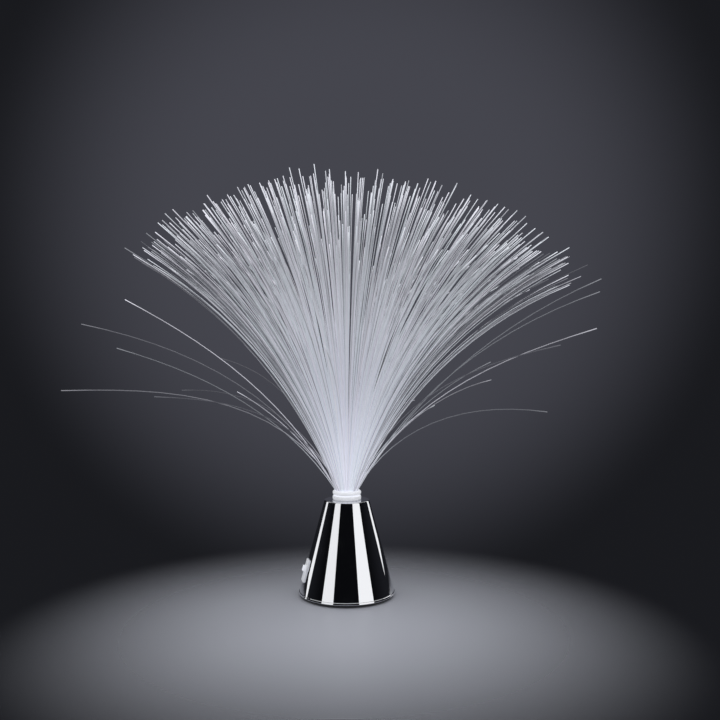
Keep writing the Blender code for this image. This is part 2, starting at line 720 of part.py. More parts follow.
def led_places():
    """Three lights close together about the axis, and the angle that each faces."""
    circle = (LED_FLANGE_RADIUS + LED_SPACING / 2) / math.cos(math.pi / 6)
    return [(around(circle, angle), angle) for angle in (math.pi / 2, math.pi * 7 / 6, math.pi * 11 / 6)]


def led_pins(place, angle, low, high, width):
    """Two square pins under a light, side by side across its radius."""
    pins = []
    for side in (-1, 1):
        x = place[0] - side * LED_PIN_SPREAD * math.sin(angle)
        y = place[1] + side * LED_PIN_SPREAD * math.cos(angle)
        pins.append(box("pin", (x - width / 2, y - width / 2, low), (x + width / 2, y + width / 2, high)))
    return pins


def build_leds(colours):
    """Three domed lights on the board, their pins through its holes."""
    bottom = BOARD_TOP + GAP
    top = bottom + LED_HEIGHT
    outline = [
        (0, bottom),
        (LED_FLANGE_RADIUS, bottom),
        (LED_FLANGE_RADIUS, bottom + LED_FLANGE_HEIGHT),
        (LED_RADIUS, bottom + LED_FLANGE_HEIGHT),
        (LED_RADIUS, top - LED_RADIUS),
        (LED_RADIUS * math.cos(math.radians(35)), top - LED_RADIUS * (1 - math.sin(math.radians(35)))),
        (LED_RADIUS * math.cos(math.radians(65)), top - LED_RADIUS * (1 - math.sin(math.radians(65)))),
        (0, top),
    ]
    for (name, surface), (place, angle) in zip(colours.items(), led_places()):
        light = turned(name, outline, SCREW_SIDES, surface, place)
        pin_low = bottom - LED_PIN_LENGTH
        pin_high = bottom + LED_FLANGE_HEIGHT / 2
        add(light, combined(f"add_{name}_pins", led_pins(place, angle, pin_low, pin_high, LED_PIN_WIDTH)))


def build_board(green, steel, black, ceramic):
    """The round light board on three posts, with its screws, chip and resistor."""
    board = rod("led_board", BOARD_RADIUS, BOARD_BOTTOM, BOARD_TOP, HIDDEN_SIDES, green)
    holes = []
    low = BOARD_BOTTOM - CUT_OVERRUN
    high = BOARD_TOP + CUT_OVERRUN
    for number, angle in enumerate(POST_ANGLES, 1):
        place = around(POST_CIRCLE, angle)
        holes.append(rod(f"hole_{number}", BOARD_SCREW_RADIUS + GAP, low, high, SCREW_SIDES, None, place))
    for place, angle in led_places():
        holes += led_pins(place, angle, low, high, LED_PIN_WIDTH + 2 * GAP)
    cut(board, combined("cut_board_holes", holes))
    for number, angle in enumerate(POST_ANGLES, 1):
        made = screw(
            f"board_screw_{number}",
            BOARD_SCREW_RADIUS,
            BOARD_SCREW_LENGTH,
            BOARD_SCREW_HEAD_RADIUS,
            BOARD_SCREW_HEAD_HEIGHT,
            steel,
        )
        made.location = (*around(POST_CIRCLE, angle), BOARD_BOTTOM - GAP)
    for name, size, place, surface in (
        ("control_chip", CHIP_SIZE, CHIP_PLACE, black),
        ("resistor", RESISTOR_SIZE, RESISTOR_PLACE, ceramic),
    ):
        top = BOARD_BOTTOM - GAP
        low = (place[0] - size[0] / 2, place[1] - size[1] / 2, top - size[2])
        high = (place[0] + size[0] / 2, place[1] + size[1] / 2, top)
        box(name, low, high, surface)
    return board


def switch_frame():
    """The switch's place on the flank: local X points out of the wall, local Z up along it."""
    height = POCKET_TOP + SWITCH_LIFT
    tilt = math.atan(SHELL_SLOPE)
    out_angle = Matrix.Rotation(SWITCH_ANGLE, 4, "Z") @ Matrix.Rotation(-tilt, 4, "Y")
    x, y = around(shell_radius(height), SWITCH_ANGLE)
    return Matrix.Translation((x, y, height)) @ out_angle


def build_switch(white, black, steel, nickel):
    """Bezel, housing, terminals, screws and the knob of the slide switch."""
    back = BEZEL_PROUD - BEZEL_DEPTH
    front = back - GAP
    slot_half = (KNOB_HEIGHT + SWITCH_TRAVEL) / 2 + GAP
    cavity = SLIDER_DEPTH + 2 * GAP
    body_half_width = SLIDER_WIDTH / 2 + GAP + HOUSING_WALL
    body_half_height = slot_half + HOUSING_WALL
    ear_half_height = body_half_height + EAR_HEIGHT
    screw_z = body_half_height + EAR_HEIGHT / 2

    bezel = box(
        "switch_bezel",
        (back, -BEZEL_WIDTH / 2, -BEZEL_HEIGHT / 2),
        (BEZEL_PROUD, BEZEL_WIDTH / 2, BEZEL_HEIGHT / 2),
        white,
        BEZEL_ROUND,
    )
    slot = box(
        "cut_bezel_slot",
        (back - CUT_OVERRUN, -KNOB_WIDTH / 2 - GAP, -slot_half),
        (BEZEL_PROUD + CUT_OVERRUN, KNOB_WIDTH / 2 + GAP, slot_half),
    )
    cut(bezel, slot)

    housing = box(
        "switch_housing",
        (front - HOUSING_DEPTH, -body_half_width, -body_half_height),
        (front, body_half_width, body_half_height),
        black,
    )
    ears = box(
        "add_housing_ears",
        (front - EAR_THICKNESS, -SLIDER_WIDTH / 2, -ear_half_height),
        (front, SLIDER_WIDTH / 2, ear_half_height),
    )
    add(housing, ears)
    hollow = box(
        "cut_housing_hollow",
        (front - cavity, -SLIDER_WIDTH / 2 - GAP, -slot_half),
        (front + CUT_OVERRUN, SLIDER_WIDTH / 2 + GAP, slot_half),
    )
    cut(housing, hollow)

    bores = []
    for side in (-1, 1):
        bore = rod(
            f"bore_{side}",
            SWITCH_SCREW_RADIUS + GAP,
            front - EAR_THICKNESS - CUT_OVERRUN,
            back + SWITCH_SCREW_DEPTH + GAP,
            SCREW_SIDES,
        )
        bore.matrix_world = Matrix.Translation((0, 0, side * screw_z)) @ Matrix.Rotation(math.pi / 2, 4, "Y")
        bores.append(bore)
    bore_pair = combined("cut_ear_bores", bores)
    cut(bezel, bore_pair)
    cut(housing, bore_pair)

    half_travel = SWITCH_TRAVEL / 2
    knob = box(
        "switch_knob",
        (front - GAP - SLIDER_DEPTH / 2, -KNOB_WIDTH / 2, -KNOB_HEIGHT / 2),
        (BEZEL_PROUD + KNOB_PROUD, KNOB_WIDTH / 2, KNOB_HEIGHT / 2),
        white,
        KNOB_ROUND,
    )
    slider = box(
        "add_slider",
        (front - GAP - SLIDER_DEPTH, -SLIDER_WIDTH / 2, -KNOB_HEIGHT / 2),
        (front - GAP, SLIDER_WIDTH / 2, KNOB_HEIGHT / 2),
    )
    add(knob, slider)
    tip = BEZEL_PROUD + KNOB_PROUD
    grooves = []
    for place in (-1, 0, 1):
        centre = place * KNOB_HEIGHT / 4
        low = (tip - KNOB_GROOVE, -KNOB_WIDTH, centre - KNOB_GROOVE / 2)
        high = (tip + CUT_OVERRUN, KNOB_WIDTH, centre + KNOB_GROOVE / 2)
        grooves.append(box(f"groove_{place}", low, high))
    groove_cutter = combined("cut_knob_grooves", grooves)
    cut(knob, groove_cutter)

    terminals = []
    for number, place in enumerate((-1, 0, 1), 1):
        centre = place * TERMINAL_PITCH
        top = front - HOUSING_DEPTH - GAP
        low = (top - TERMINAL_SIZE[0], -TERMINAL_SIZE[1] / 2, centre - TERMINAL_SIZE[2] / 2)
        high = (top, TERMINAL_SIZE[1] / 2, centre + TERMINAL_SIZE[2] / 2)
        terminals.append(box(f"switch_terminal_{number}", low, high, nickel))

    frame = switch_frame()
    for piece in (bezel, slot, housing, ears, hollow, bore_pair, *terminals):
        piece.matrix_world = frame
    for piece in (knob, slider, groove_cutter):
        piece.matrix_world = frame @ Matrix.Translation((0, 0, half_travel))
    for number, side in enumerate((-1, 1), 1):
        made = screw(
            f"switch_screw_{number}",
            SWITCH_SCREW_RADIUS,
            EAR_THICKNESS + 2 * GAP + SWITCH_SCREW_DEPTH,
            SWITCH_SCREW_HEAD_RADIUS,
            SWITCH_SCREW_HEAD_HEIGHT,
            steel,
        )
        seat = Matrix.Translation((front - EAR_THICKNESS - GAP, 0, side * screw_z))
        made.matrix_world = frame @ seat @ Matrix.Rotation(math.pi / 2, 4, "Y")


def smooth_route(stops, steps):
    """A chain of points on a smooth curve through the stops of a wire's route."""
    stops = [Vector(stop) for stop in stops]
    ends = [stops[0] * 2 - stops[1]] + stops + [stops[-1] * 2 - stops[-2]]
    points = []
    for before, start, end, after in zip(ends, ends[1:], ends[2:], ends[3:]):
        leaving = start + (end - before) * WIRE_HANDLE_SHARE
        arriving = end - (after - start) * WIRE_HANDLE_SHARE
        points += interpolate_bezier(start, leaving, arriving, end, steps + 1)[:-1]
    points.append(stops[-1])
    return points


def build_leads(red, white, black):
    """Wires: positive tab to switch, switch to board, negative tab to board."""
    frame = switch_frame()
    back = BEZEL_PROUD - BEZEL_DEPTH - GAP - HOUSING_DEPTH - GAP - TERMINAL_SIZE[0]
    (positive_x, positive_y), (negative_x, negative_y) = tab_places()
    inset = LEAD_HOLE_RADIUS
    roof = POCKET_TOP + WIRE_RADIUS + WIRE_GAP
    start = POCKET_TOP + WIRE_GAP - POCKET_WALL
    turn_up = POCKET_TOP + BOSS_RADIUS
    pin_gap = GAP + WIRE_GAP
    lower = frame @ Vector((back - pin_gap, 0, 0))
    upper = frame @ Vector((back - pin_gap, 0, TERMINAL_PITCH))
    board = BOARD_BOTTOM - GAP
    clear = BOSS_RADIUS + WIRE_RADIUS
    positive = [
        (positive_x - inset, positive_y, start),
        (positive_x - inset, positive_y, roof),
        (positive_x - inset, positive_y, turn_up),
        (positive_x - 4 * clear, positive_y, roof + clear),
        (0, positive_y, roof),
        (lower.x + 2 * clear, lower.y, lower.z),
        (lower.x, lower.y, lower.z),
    ]
    switched = [
        (upper.x, upper.y, upper.z),
        (upper.x + clear, upper.y, upper.z + clear),
        (-BOARD_RADIUS / 2, -clear, (upper.z + board) / 2),
        (-BOARD_RADIUS / 2, -clear, board - clear),
        (-BOARD_RADIUS / 2, -clear, board),
    ]
    negative = [
        (negative_x + inset, negative_y, start),
        (negative_x + inset, negative_y, roof),
        (negative_x + inset, negative_y, turn_up),
        (-BOARD_RADIUS / 2, negative_y, (turn_up + board) / 2),
        (0, 2 * clear, board - 2 * clear),
        (0, clear, board),
    ]
    steps = 4
    wire("lead_positive", smooth_route(positive, steps), WIRE_RADIUS, 2, red)
    wire("lead_switched", smooth_route(switched, steps), WIRE_RADIUS, 2, white)
    wire("lead_negative", smooth_route(negative, steps), WIRE_RADIUS, 2, black)


def build_ferrule(white):
    """The plug of the spray: a flange with a flared mouth on a sleeve."""
    r = PLUG_FLANGE_ROUND
    outline = [
        (PLUG_BORE, PLUG_BOTTOM),
        (PLUG_RADIUS, PLUG_BOTTOM),
        (PLUG_RADIUS, FLANGE_BOTTOM),
        (COLLAR_RADIUS - COLLAR_ROUND, FLANGE_BOTTOM),
        (COLLAR_RADIUS, FLANGE_BOTTOM + COLLAR_ROUND),
        (COLLAR_RADIUS, FLANGE_TOP - r),
        (COLLAR_RADIUS - r / 3, FLANGE_TOP - r / 3),
        (COLLAR_RADIUS - r, FLANGE_TOP),
        (PLUG_MOUTH_RADIUS, FLANGE_TOP),
        (PLUG_BORE, CORE_TOP),
    ]
    ferrule = turned("fibre_ferrule", outline, RING_SIDES, white)
    return ferrule


def fibre_path(root_radius, root_lean, tip_lean, bend, length):
    """Radius and height of points along a fibre that leans outward more and more."""
    points = []
    radius, height = root_radius, CORE_TOP
    for step in range(FIBRE_FINE_STEPS):
        share = (step + 1 / 2) / FIBRE_FINE_STEPS
        lean = root_lean + (tip_lean - root_lean) * (1 - (1 - share) ** bend)
        radius += math.sin(lean) * length / FIBRE_FINE_STEPS
        height += math.cos(lean) * length / FIBRE_FINE_STEPS
        if step + 1 in [round(share * FIBRE_FINE_STEPS) for share in FIBRE_KNOT_SHARES]:
            points.append((radius, height))
    climb = (points[0][0] - root_radius) / (points[0][1] - CORE_TOP)
    return [(root_radius - climb * FIBRE_ROOT, CORE_TOP - FIBRE_ROOT)] + points


def add_fibre(bm, path, root_angle, angle):
    """One fibre: a three-sided rod that leaves its root in the upright plane at its angle."""
    across = Vector((-math.sin(angle), math.cos(angle), 0))
    outward = Vector((math.cos(angle), math.sin(angle), 0))
    root_radius = path[0][0] + (path[1][0] - path[0][0]) * FIBRE_ROOT / (path[1][1] - path[0][1])
    root = Vector((*around(root_radius, root_angle), 0))
    places = [root + outward * (radius - root_radius) + Vector((0, 0, height)) for radius, height in path]
    previous = None
    for index, place in enumerate(places):
        ahead = places[min(index + 1, len(places) - 1)]
        behind = places[max(index - 1, 0)]
        tangent = (ahead - behind).normalized()
        side = across.cross(tangent)
        ring = []
        for corner in range(FIBRE_SIDES):
            turn = math.tau * corner / FIBRE_SIDES
            offset = side * math.cos(turn) + across * math.sin(turn)
            ring.append(bm.verts.new(place + offset * FIBRE_RADIUS))
        if previous:
            for corner in range(FIBRE_SIDES):
                after = (corner + 1) % FIBRE_SIDES
                bm.faces.new((previous[corner], previous[after], ring[after], ring[corner]))
        else:
            bm.faces.new(list(reversed(ring)))
        previous = ring
    bm.faces.new(previous)


def fibre_roots(slice_start, slice_angle):
    """Roots of one slice's fibres: ring radius, angle of the root, and angle that the fibre leans to."""
    outer = CORE_RADIUS - FIBRE_RADIUS - FIBRE_EDGE
    margin = GAP / 2 + FIBRE_RADIUS + FIBRE_EDGE
    roots = []
    ring = 0
    while outer - ring * FIBRE_RING_PITCH > 2 * margin:
        radius = outer - ring * FIBRE_RING_PITCH
        inset = math.asin(margin / radius)
        room = slice_angle - 2 * inset
        count = int(room * radius / FIBRE_PITCH) + 1
        for index in range(count):
            fan = (index + 1 / 2) / count
            share = index / (count - 1) if count > 1 else fan
            roots.append((radius, slice_start + inset + share * room, slice_start + fan * slice_angle))
        ring += 1
    return roots


def stray_for(root_radius, angle, widest, half_step):
    """The stray whose direction falls to this outermost root, if any."""
    if root_radius < widest:
        return None
    for stray in STRAY_SHARES:
        away = (stray[0] - angle + math.pi) % math.tau - math.pi
        if -half_step < away <= half_step:
            return stray
    return None


def build_slice(number, chance, glow):
    """One slice of the potted core with its fibres fused to it."""
    slice_angle = math.tau / SLICE_COUNT
    start = (number - 1) * slice_angle
    bm = bmesh.new()
    trim = math.asin(GAP / 2 / CORE_RADIUS)
    apex = GAP / 2 / math.sin(slice_angle / 2)
    corners = [around(apex, start + slice_angle / 2)]
    for step in range(SLICE_SIDES + 1):
        share = step / SLICE_SIDES
        corners.append(around(CORE_RADIUS, start + trim + share * (slice_angle - 2 * trim)))
    face = bm.faces.new([bm.verts.new((x, y, PLUG_BOTTOM + GAP)) for x, y in corners])
    raised = bmesh.ops.extrude_face_region(bm, geom=[face])
    lifted = [item for item in raised["geom"] if isinstance(item, bmesh.types.BMVert)]
    bmesh.ops.translate(bm, verts=lifted, vec=(0, 0, CORE_TOP - PLUG_BOTTOM - GAP))
    core = new_object(f"fibre_bundle_{number}", bm, glow)

    fibres = bmesh.new()
    roots = fibre_roots(start, slice_angle)
    widest = max(root[0] for root in roots)
    half_step = slice_angle / sum(root[0] == widest for root in roots) / 2
    for radius, root_angle, angle in roots:
        spread = 1 + LEAN_SPREAD_SHARE * (2 * chance.random() - 1)
        length = FIBRE_LENGTH * (1 - LENGTH_SPREAD_SHARE * chance.random())
        fraction = radius / widest
        stray = stray_for(radius, angle, widest, half_step)
        if stray:
            path = fibre_path(radius, stray[1], stray[2], stray[3], FIBRE_LENGTH * stray[4])
        else:
            root_lean = ROOT_ANGLE * fraction * (1 + ROOT_SIDE_SHARE * math.cos(angle))
            tip_lean = TIP_ANGLE * fraction * (1 + TIP_SIDE_SHARE * math.cos(angle)) * spread
            path = fibre_path(radius, root_lean, tip_lean, 1, length)
        add_fibre(fibres, path, root_angle, angle)
    boolean(core, new_object(f"add_fibres_{number}", fibres), "UNION", many=True)
    return len(roots)


def main():
    clear_scene()
    chrome = material("plated_metal", (0.82, 0.83, 0.85), 0.06, 1.0)
    black = material("black_plastic", (0.02, 0.02, 0.022), 0.45)
    white = material("white_plastic", (0.86, 0.87, 0.89), 0.35)
    rubber = material("black_rubber", (0.015, 0.015, 0.015), 0.8)
    steel = material("zinc_steel", (0.6, 0.6, 0.6), 0.35, 1.0)
    nickel = material("nickel", (0.7, 0.67, 0.6), 0.3, 1.0)
    wrap = material("cell_wrap", (0.12, 0.13, 0.15), 0.4, 0.3)
    green = material("board_green", (0.02, 0.16, 0.07), 0.4)
    ceramic = material("resistor_body", (0.3, 0.5, 0.65), 0.4)
    red_wire = material("red_wire", (0.6, 0.03, 0.03), 0.5)
    white_wire = material("white_wire", (0.8, 0.8, 0.78), 0.5)
    glow = material("light_fibre", (0.8, 0.83, 0.92), 0.2)
    lights = {
        "led_red": material("red_lens", (0.8, 0.1, 0.08), 0.1),
        "led_green": material("green_lens", (0.1, 0.7, 0.15), 0.1),
        "led_blue": material("blue_lens", (0.1, 0.25, 0.85), 0.1),
    }

    build_shell(chrome)
    build_cover(black)
    build_feet(rubber)
    build_cover_screws(steel)
    build_door(black)
    build_cells(wrap)
    build_contacts(nickel)
    build_socket(white)
    build_lock_ring(black)
    build_light_cup(white)
    build_board(green, steel, black, ceramic)
    build_leds(lights)
    build_switch(white, black, steel, nickel)
    build_leads(red_wire, white_wire, black)
    build_ferrule(white)
    chance = random.Random(FIBRE_SEED)
    count = sum(build_slice(number, chance, glow) for number in range(1, SLICE_COUNT + 1))
    print(f"{count} fibres, base {2000 * SHELL_BOTTOM_RADIUS:.1f} mm across")


main()
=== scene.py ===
# %% [markdown]
# A battery lamp: a mirror-plated plastic cone, a white socket on top of it, and a plug-in spray of
# thin light fibres. The solid model of the lamp is already packed, with all its joints. This script
# dresses that model: it hides the solids that are too plain and puts finer pieces in their places.
# Everything is in metres, in the same frame as the solids, and the lamp is seen from -Y.
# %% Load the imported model
import math
import random

import bmesh
import bpy
from mathutils import Matrix, Vector


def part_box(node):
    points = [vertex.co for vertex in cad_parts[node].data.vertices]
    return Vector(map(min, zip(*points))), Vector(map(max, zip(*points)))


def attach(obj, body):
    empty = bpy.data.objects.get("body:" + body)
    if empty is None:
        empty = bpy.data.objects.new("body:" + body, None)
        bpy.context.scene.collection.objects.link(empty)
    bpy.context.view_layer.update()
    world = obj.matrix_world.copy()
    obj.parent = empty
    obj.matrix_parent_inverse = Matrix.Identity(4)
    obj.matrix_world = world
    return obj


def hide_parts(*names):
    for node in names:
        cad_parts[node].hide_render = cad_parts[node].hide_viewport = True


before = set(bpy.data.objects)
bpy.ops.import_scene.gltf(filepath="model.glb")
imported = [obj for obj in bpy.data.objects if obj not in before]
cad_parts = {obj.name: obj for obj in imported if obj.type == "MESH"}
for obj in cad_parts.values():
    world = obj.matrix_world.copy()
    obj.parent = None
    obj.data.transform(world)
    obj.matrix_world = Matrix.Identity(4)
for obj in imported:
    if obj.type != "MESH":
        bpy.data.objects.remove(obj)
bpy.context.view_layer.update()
collection = bpy.context.scene.collection

# %% [markdown]
# A shader is arithmetic on fields: a number for each place on a surface. Blender writes it as nodes.
# This small class wraps one socket, so that the script can write the same sum as Python does, and
# the nodes appear by themselves. It serves the geometry trees further down as well.
# %% Sums on sockets
class Field:
    """One output socket. A sum or product of fields adds the Math node that works it out."""

    def __init__(self, tree, socket):
        self.tree = tree
        self.socket = socket

    def math(self, operation, *values):
        return self.tree.node("ShaderNodeMath", dict(enumerate(values)), operation=operation)

    def __add__(self, other):
        return self.math("ADD", self, other)

    def __sub__(self, other):
        return self.math("SUBTRACT", self, other)

    def __mul__(self, other):
        return self.math("MULTIPLY", self, other)

    def __truediv__(self, other):
        return self.math("DIVIDE", self, other)

    def __pow__(self, other):
        return self.math("POWER", self, other)

    def __mod__(self, other):
        return self.math("MODULO", self, other)

    def __rsub__(self, other):
        return self.math("SUBTRACT", other, self)

    def __rtruediv__(self, other):
        return self.math("DIVIDE", other, self)

    def __gt__(self, other):
        return self.math("GREATER_THAN", self, other)

    def __lt__(self, other):
        return self.math("LESS_THAN", self, other)

    def sine(self):
        return self.math("SINE", self)

    def cosine(self):
        return self.math("COSINE", self)

    def also(self, name):
        """Another output of the same node."""
        return Field(self.tree, next(s for s in self.socket.node.outputs if s.name == name and s.enabled))


# %% [markdown]
# One method makes every other kind of node: it takes the type, the settings that the node has, and
# what its sockets get. Some nodes keep several sockets of one name and switch on the one in use,
# so sockets are looked up among those that are switched on. Vector sums, a mix of two colours and a
# soft step come up often, so they get short names.
# %% Trees of nodes
class Tree:
    """The nodes of a material or of a geometry modifier."""

    def __init__(self, tree):
        self.tree = tree

    def feed(self, socket, value):
        if isinstance(value, Field):
            self.tree.links.new(value.socket, socket)
        elif isinstance(value, tuple) and socket.type == "RGBA":
            socket.default_value = (*value, 1.0)
        else:
            socket.default_value = value

    def node(self, kind, sockets=None, output=0, **settings):
        made = self.tree.nodes.new(kind)
        for name, value in settings.items():
            setattr(made, name, value)
        used = [socket for socket in made.inputs if socket.enabled]
        for name, value in (sockets or {}).items():
            match = used[name] if isinstance(name, int) else next(s for s in used if s.name == name)
            self.feed(match, value)
        outputs = [socket for socket in made.outputs if socket.enabled]
        if not outputs:
            return None
        chosen = outputs[output] if isinstance(output, int) else next(s for s in outputs if s.name == output)
        return Field(self, chosen)

    def vector(self, operation, *values):
        """A sum, product or measure of vectors."""
        return self.node("ShaderNodeVectorMath", dict(enumerate(values)), operation=operation)

    def blend(self, colour, other, amount):
        """A colour that goes to the other as amount goes from 0 to 1."""
        return self.node("ShaderNodeMix", {"Factor": amount, "A": colour, "B": other}, data_type="RGBA")

    def step(self, value, start, end):
        """0 before start, 1 after end, and a soft rise between them."""
        return self.node(
            "ShaderNodeMapRange",
            {"Value": value, "From Min": start, "From Max": end},
            interpolation_type="SMOOTHSTEP",
        )


# %% [markdown]
# A finish is a material with one Principled shader. What is the same all over the surface is set on
# the shader itself; what changes over it is fed by a field. Noise and a bump come up in nearly every
# finish, so they get short names too.
# %% Finishes
class Finish(Tree):
    """A material for one kind of surface."""

    def __init__(self, name, **constants):
        self.material = bpy.data.materials.new(name)
        self.material.use_nodes = True
        super().__init__(self.material.node_tree)
        self.shader = self.tree.nodes["Principled BSDF"]
        for socket, value in constants.items():
            self.set(socket.replace("_", " "), value)

    def set(self, socket, value):
        self.feed(self.shader.inputs[socket], value)

    def place(self, axis=None):
        """Where on the lamp a point is, as a vector or as one coordinate."""
        place = self.node("ShaderNodeTexCoord", output="Object")
        return place if axis is None else self.node("ShaderNodeSeparateXYZ", {0: place}, output=axis)

    def noise(self, scale, detail=2.0, stretch=(1.0, 1.0, 1.0)):
        """Cloudy variation between 0 and 1, drawn out along an axis where stretch is small."""
        place = self.node("ShaderNodeMapping", {"Vector": self.place(), "Scale": stretch})
        return self.node("ShaderNodeTexNoise", {"Vector": place, "Scale": scale, "Detail": detail})

    def between(self, low, high, amount):
        """A number that goes from low to high as amount goes from 0 to 1."""
        return amount * (high - low) + low

    def bump(self, height, depth, strength):
        """Raise and sink the surface by a field, depth being the height of the relief in metres."""
        normal = self.node("ShaderNodeBump", {"Height": height, "Distance": depth, "Strength": strength})
        self.set("Normal", normal)


print("node helpers ready")

# %% [markdown]
# The sizes that the pieces below share. Heights and outer widths are read from the solids, so the
# looks can't drift from them; the rest are the same driving sizes as those solids were made with.
# SLIT is the gap between pieces that are seated in each other.
# %% Sizes
cone_low, cone_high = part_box("cone_shell")
collar_low, collar_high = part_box("socket_collar")
plug_low, plug_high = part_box("fibre_ferrule")

CONE_FOOT = cone_low.z
CONE_TOP = cone_high.z
CONE_WALL = 0.0017
CONE_LIP = 0.0003
CONE_LIP_HEIGHT = 0.0014
CONE_TOP_RADIUS = 0.01775
CONE_FOOT_RADIUS = cone_high.x - CONE_LIP
CONE_SLOPE = (CONE_FOOT_RADIUS - CONE_TOP_RADIUS) / (CONE_TOP - CONE_FOOT)
DECK_THICKNESS = 0.002
SOCKET_RADIUS = 0.0103
SOCKET_BORE = 0.0092
COLLAR_RADIUS = collar_high.y
SLIT = 0.0003
PLUG_WALL = 0.0009
CORE_SINK = 0.0025
PLUG_RADIUS = SOCKET_BORE - SLIT
PLUG_BORE = PLUG_RADIUS - PLUG_WALL
CORE_TOP = plug_high.z - CORE_SINK
CORE_RADIUS = PLUG_BORE - SLIT
print(f"cone {2000 * CONE_FOOT_RADIUS:.1f} mm wide at its foot, {1000 * (CONE_TOP - CONE_FOOT):.1f} mm high")

# %% [markdown]
# The photograph was taken level, from in front and a little above the cone: the horizon is at the
# middle of the picture, and the lamp's axis a little left of it. A camera that looks level keeps
# upright lines upright, so no lens shift is needed.
# %% Camera
CAMERA_HEIGHT = 0.186
CAMERA_DISTANCE = 0.64
CAMERA_SIDE = 0.0104
CAMERA_LENS = 40.3

camera_data = bpy.data.cameras.new("camera")
camera_data.lens = CAMERA_LENS
camera_data.sensor_width = 36
camera = bpy.data.objects.new("camera", camera_data)
camera.location = (CAMERA_SIDE, -CAMERA_DISTANCE, CAMERA_HEIGHT)
camera.rotation_euler = (math.radians(90), 0, 0)
collection.objects.link(camera)
bpy.context.scene.camera = camera
bpy.context.scene.view_settings.view_transform = "Standard"
print("camera", tuple(camera.location))

# %% [markdown]
# A mirror shows its room, so the room is part of the finish. Tall light panels stand round the lamp
# where the bright stripes on the cone come from, and everything between them is dark. The place of
# each panel is worked out from its stripe: a mirror turned by an angle turns its picture by twice
# that angle. The angles are counted from the camera's side, and minus is left. One more panel hangs
# above, for the deck, the rings and the floor.
# %% Light panels
PANEL_DISTANCE = 1.2
PANEL_HEIGHT = 1.1
ABOVE_SIZE = 2.4
ABOVE_HEIGHT = 1.3
ABOVE_GLOW = 0.55
# Name, first and last direction in degrees, and brightness
PANELS = [
    ("panel_left", -59.6, -31.0, 0.92),
    ("panel_right", 29.5, 66.5, 1.0),
    ("panel_far_left", -122.0, -107.0, 0.95),
    ("panel_far_right", 123.0, 139.0, 1.0),
]


def light_panel(name, width, height, place, aim, glow):
    """A flat light that the camera doesn't see, but that shows in the plated cone."""
    light = bpy.data.lights.new(name, "AREA")
    light.shape = "RECTANGLE"
    light.size = width
    light.size_y = height
    light.energy = glow * math.pi * width * height
    made = bpy.data.objects.new(name, light)
    made.location = place
    made.rotation_euler = (Vector(aim) - Vector(place)).to_track_quat("-Z", "Y").to_euler()
    made.visible_camera = False
    collection.objects.link(made)


for name, first, last, glow in PANELS:
    middle = math.radians((first + last) / 2)
    width = 2 * PANEL_DISTANCE * math.tan(math.radians((last - first) / 2))
    x = PANEL_DISTANCE * math.sin(middle)
    y = -PANEL_DISTANCE * math.cos(middle)
    z = PANEL_HEIGHT / 2
    light_panel(name, width, PANEL_HEIGHT, (x, y, z), (0, 0, z), glow)
light_panel("panel_above", ABOVE_SIZE, ABOVE_SIZE, (0, 0, ABOVE_HEIGHT), (0, 0, 0), ABOVE_GLOW)
print(len(PANELS) + 1, "light panels")

# %% [markdown]
# The room itself is plain. Matt surfaces are lit by an even pale light from all round. The camera,
# mirrors and clear things see a dark wall instead, as pale fibres only show against a dark one. That
# wall has a faint wide glow straight behind the lamp, and on the camera's side it is darker still,
# which keeps the cone's dark stripes deep.
# %% Room
ROOM_LIGHT = 0.50
WALL_DARK = (0.010, 0.0105, 0.013)
WALL_GLOW = (0.060, 0.061, 0.076)
GLOW_RISE = math.radians(9)
GLOW_EDGE = 0.90
GLOW_FULL = 0.985
CAMERA_SIDE_SHARE = 0.3
SIDE_CHANGE = 0.35

world = bpy.data.worlds.new("room")
world.use_nodes = True
bpy.context.scene.world = world
room = Tree(world.node_tree)
for old in list(world.node_tree.nodes):
    world.node_tree.nodes.remove(old)
ray = room.node("ShaderNodeLightPath", output="Is Camera Ray")
shown = ray + ray.also("Is Glossy Ray") + ray.also("Is Transmission Ray")
direction = room.node("ShaderNodeTexCoord", output="Generated")
forwards = room.node("ShaderNodeSeparateXYZ", {0: direction}, output="Y")
nearness = room.vector("DOT_PRODUCT", direction, (0.0, math.cos(GLOW_RISE), math.sin(GLOW_RISE)))
glow = room.step(nearness, GLOW_EDGE, GLOW_FULL)
far_side = room.node(
    "ShaderNodeMapRange",
    {
        "Value": forwards,
        "From Min": -SIDE_CHANGE,
        "From Max": SIDE_CHANGE,
        "To Min": CAMERA_SIDE_SHARE,
        "To Max": 1.0,
    },
)
wall = room.blend(WALL_DARK, WALL_GLOW, glow)
wall_light = room.node("ShaderNodeBackground", {"Color": wall, "Strength": far_side})
soft_light = room.node("ShaderNodeBackground", {"Color": (0.95, 0.97, 1.0), "Strength": ROOM_LIGHT})
seen = room.node("ShaderNodeMixShader", {0: shown, 1: soft_light, 2: wall_light})
room.node("ShaderNodeOutputWorld", {"Surface": seen})
print("room light", ROOM_LIGHT)

# %% [markdown]
# The lamp stands on a plain pale floor. The floor is a wide disc that fades into the dark room not
# far from the lamp, as if a pool of light lay round it, so that the cone stands out against the dark
# and no edge of the floor crosses the picture behind the fibres.
# %% Floor
FLOOR_RADIUS = 2.5
FLOOR_FADE_START = 0.02
FLOOR_FADE_END = 0.25
# Added to each place, so that the pool's middle lies 7 cm before the lamp
FLOOR_SHIFT = (0.0, 0.07, 0.0)
FLOOR_COLOUR = (0.46, 0.47, 0.52)

floor_mesh = bmesh.new()
bmesh.ops.create_circle(floor_mesh, cap_ends=True, radius=FLOOR_RADIUS, segments=96)
floor_data = bpy.data.meshes.new("floor")
floor_mesh.to_mesh(floor_data)
floor_mesh.free()
floor = bpy.data.objects.new("floor", floor_data)
collection.objects.link(floor)

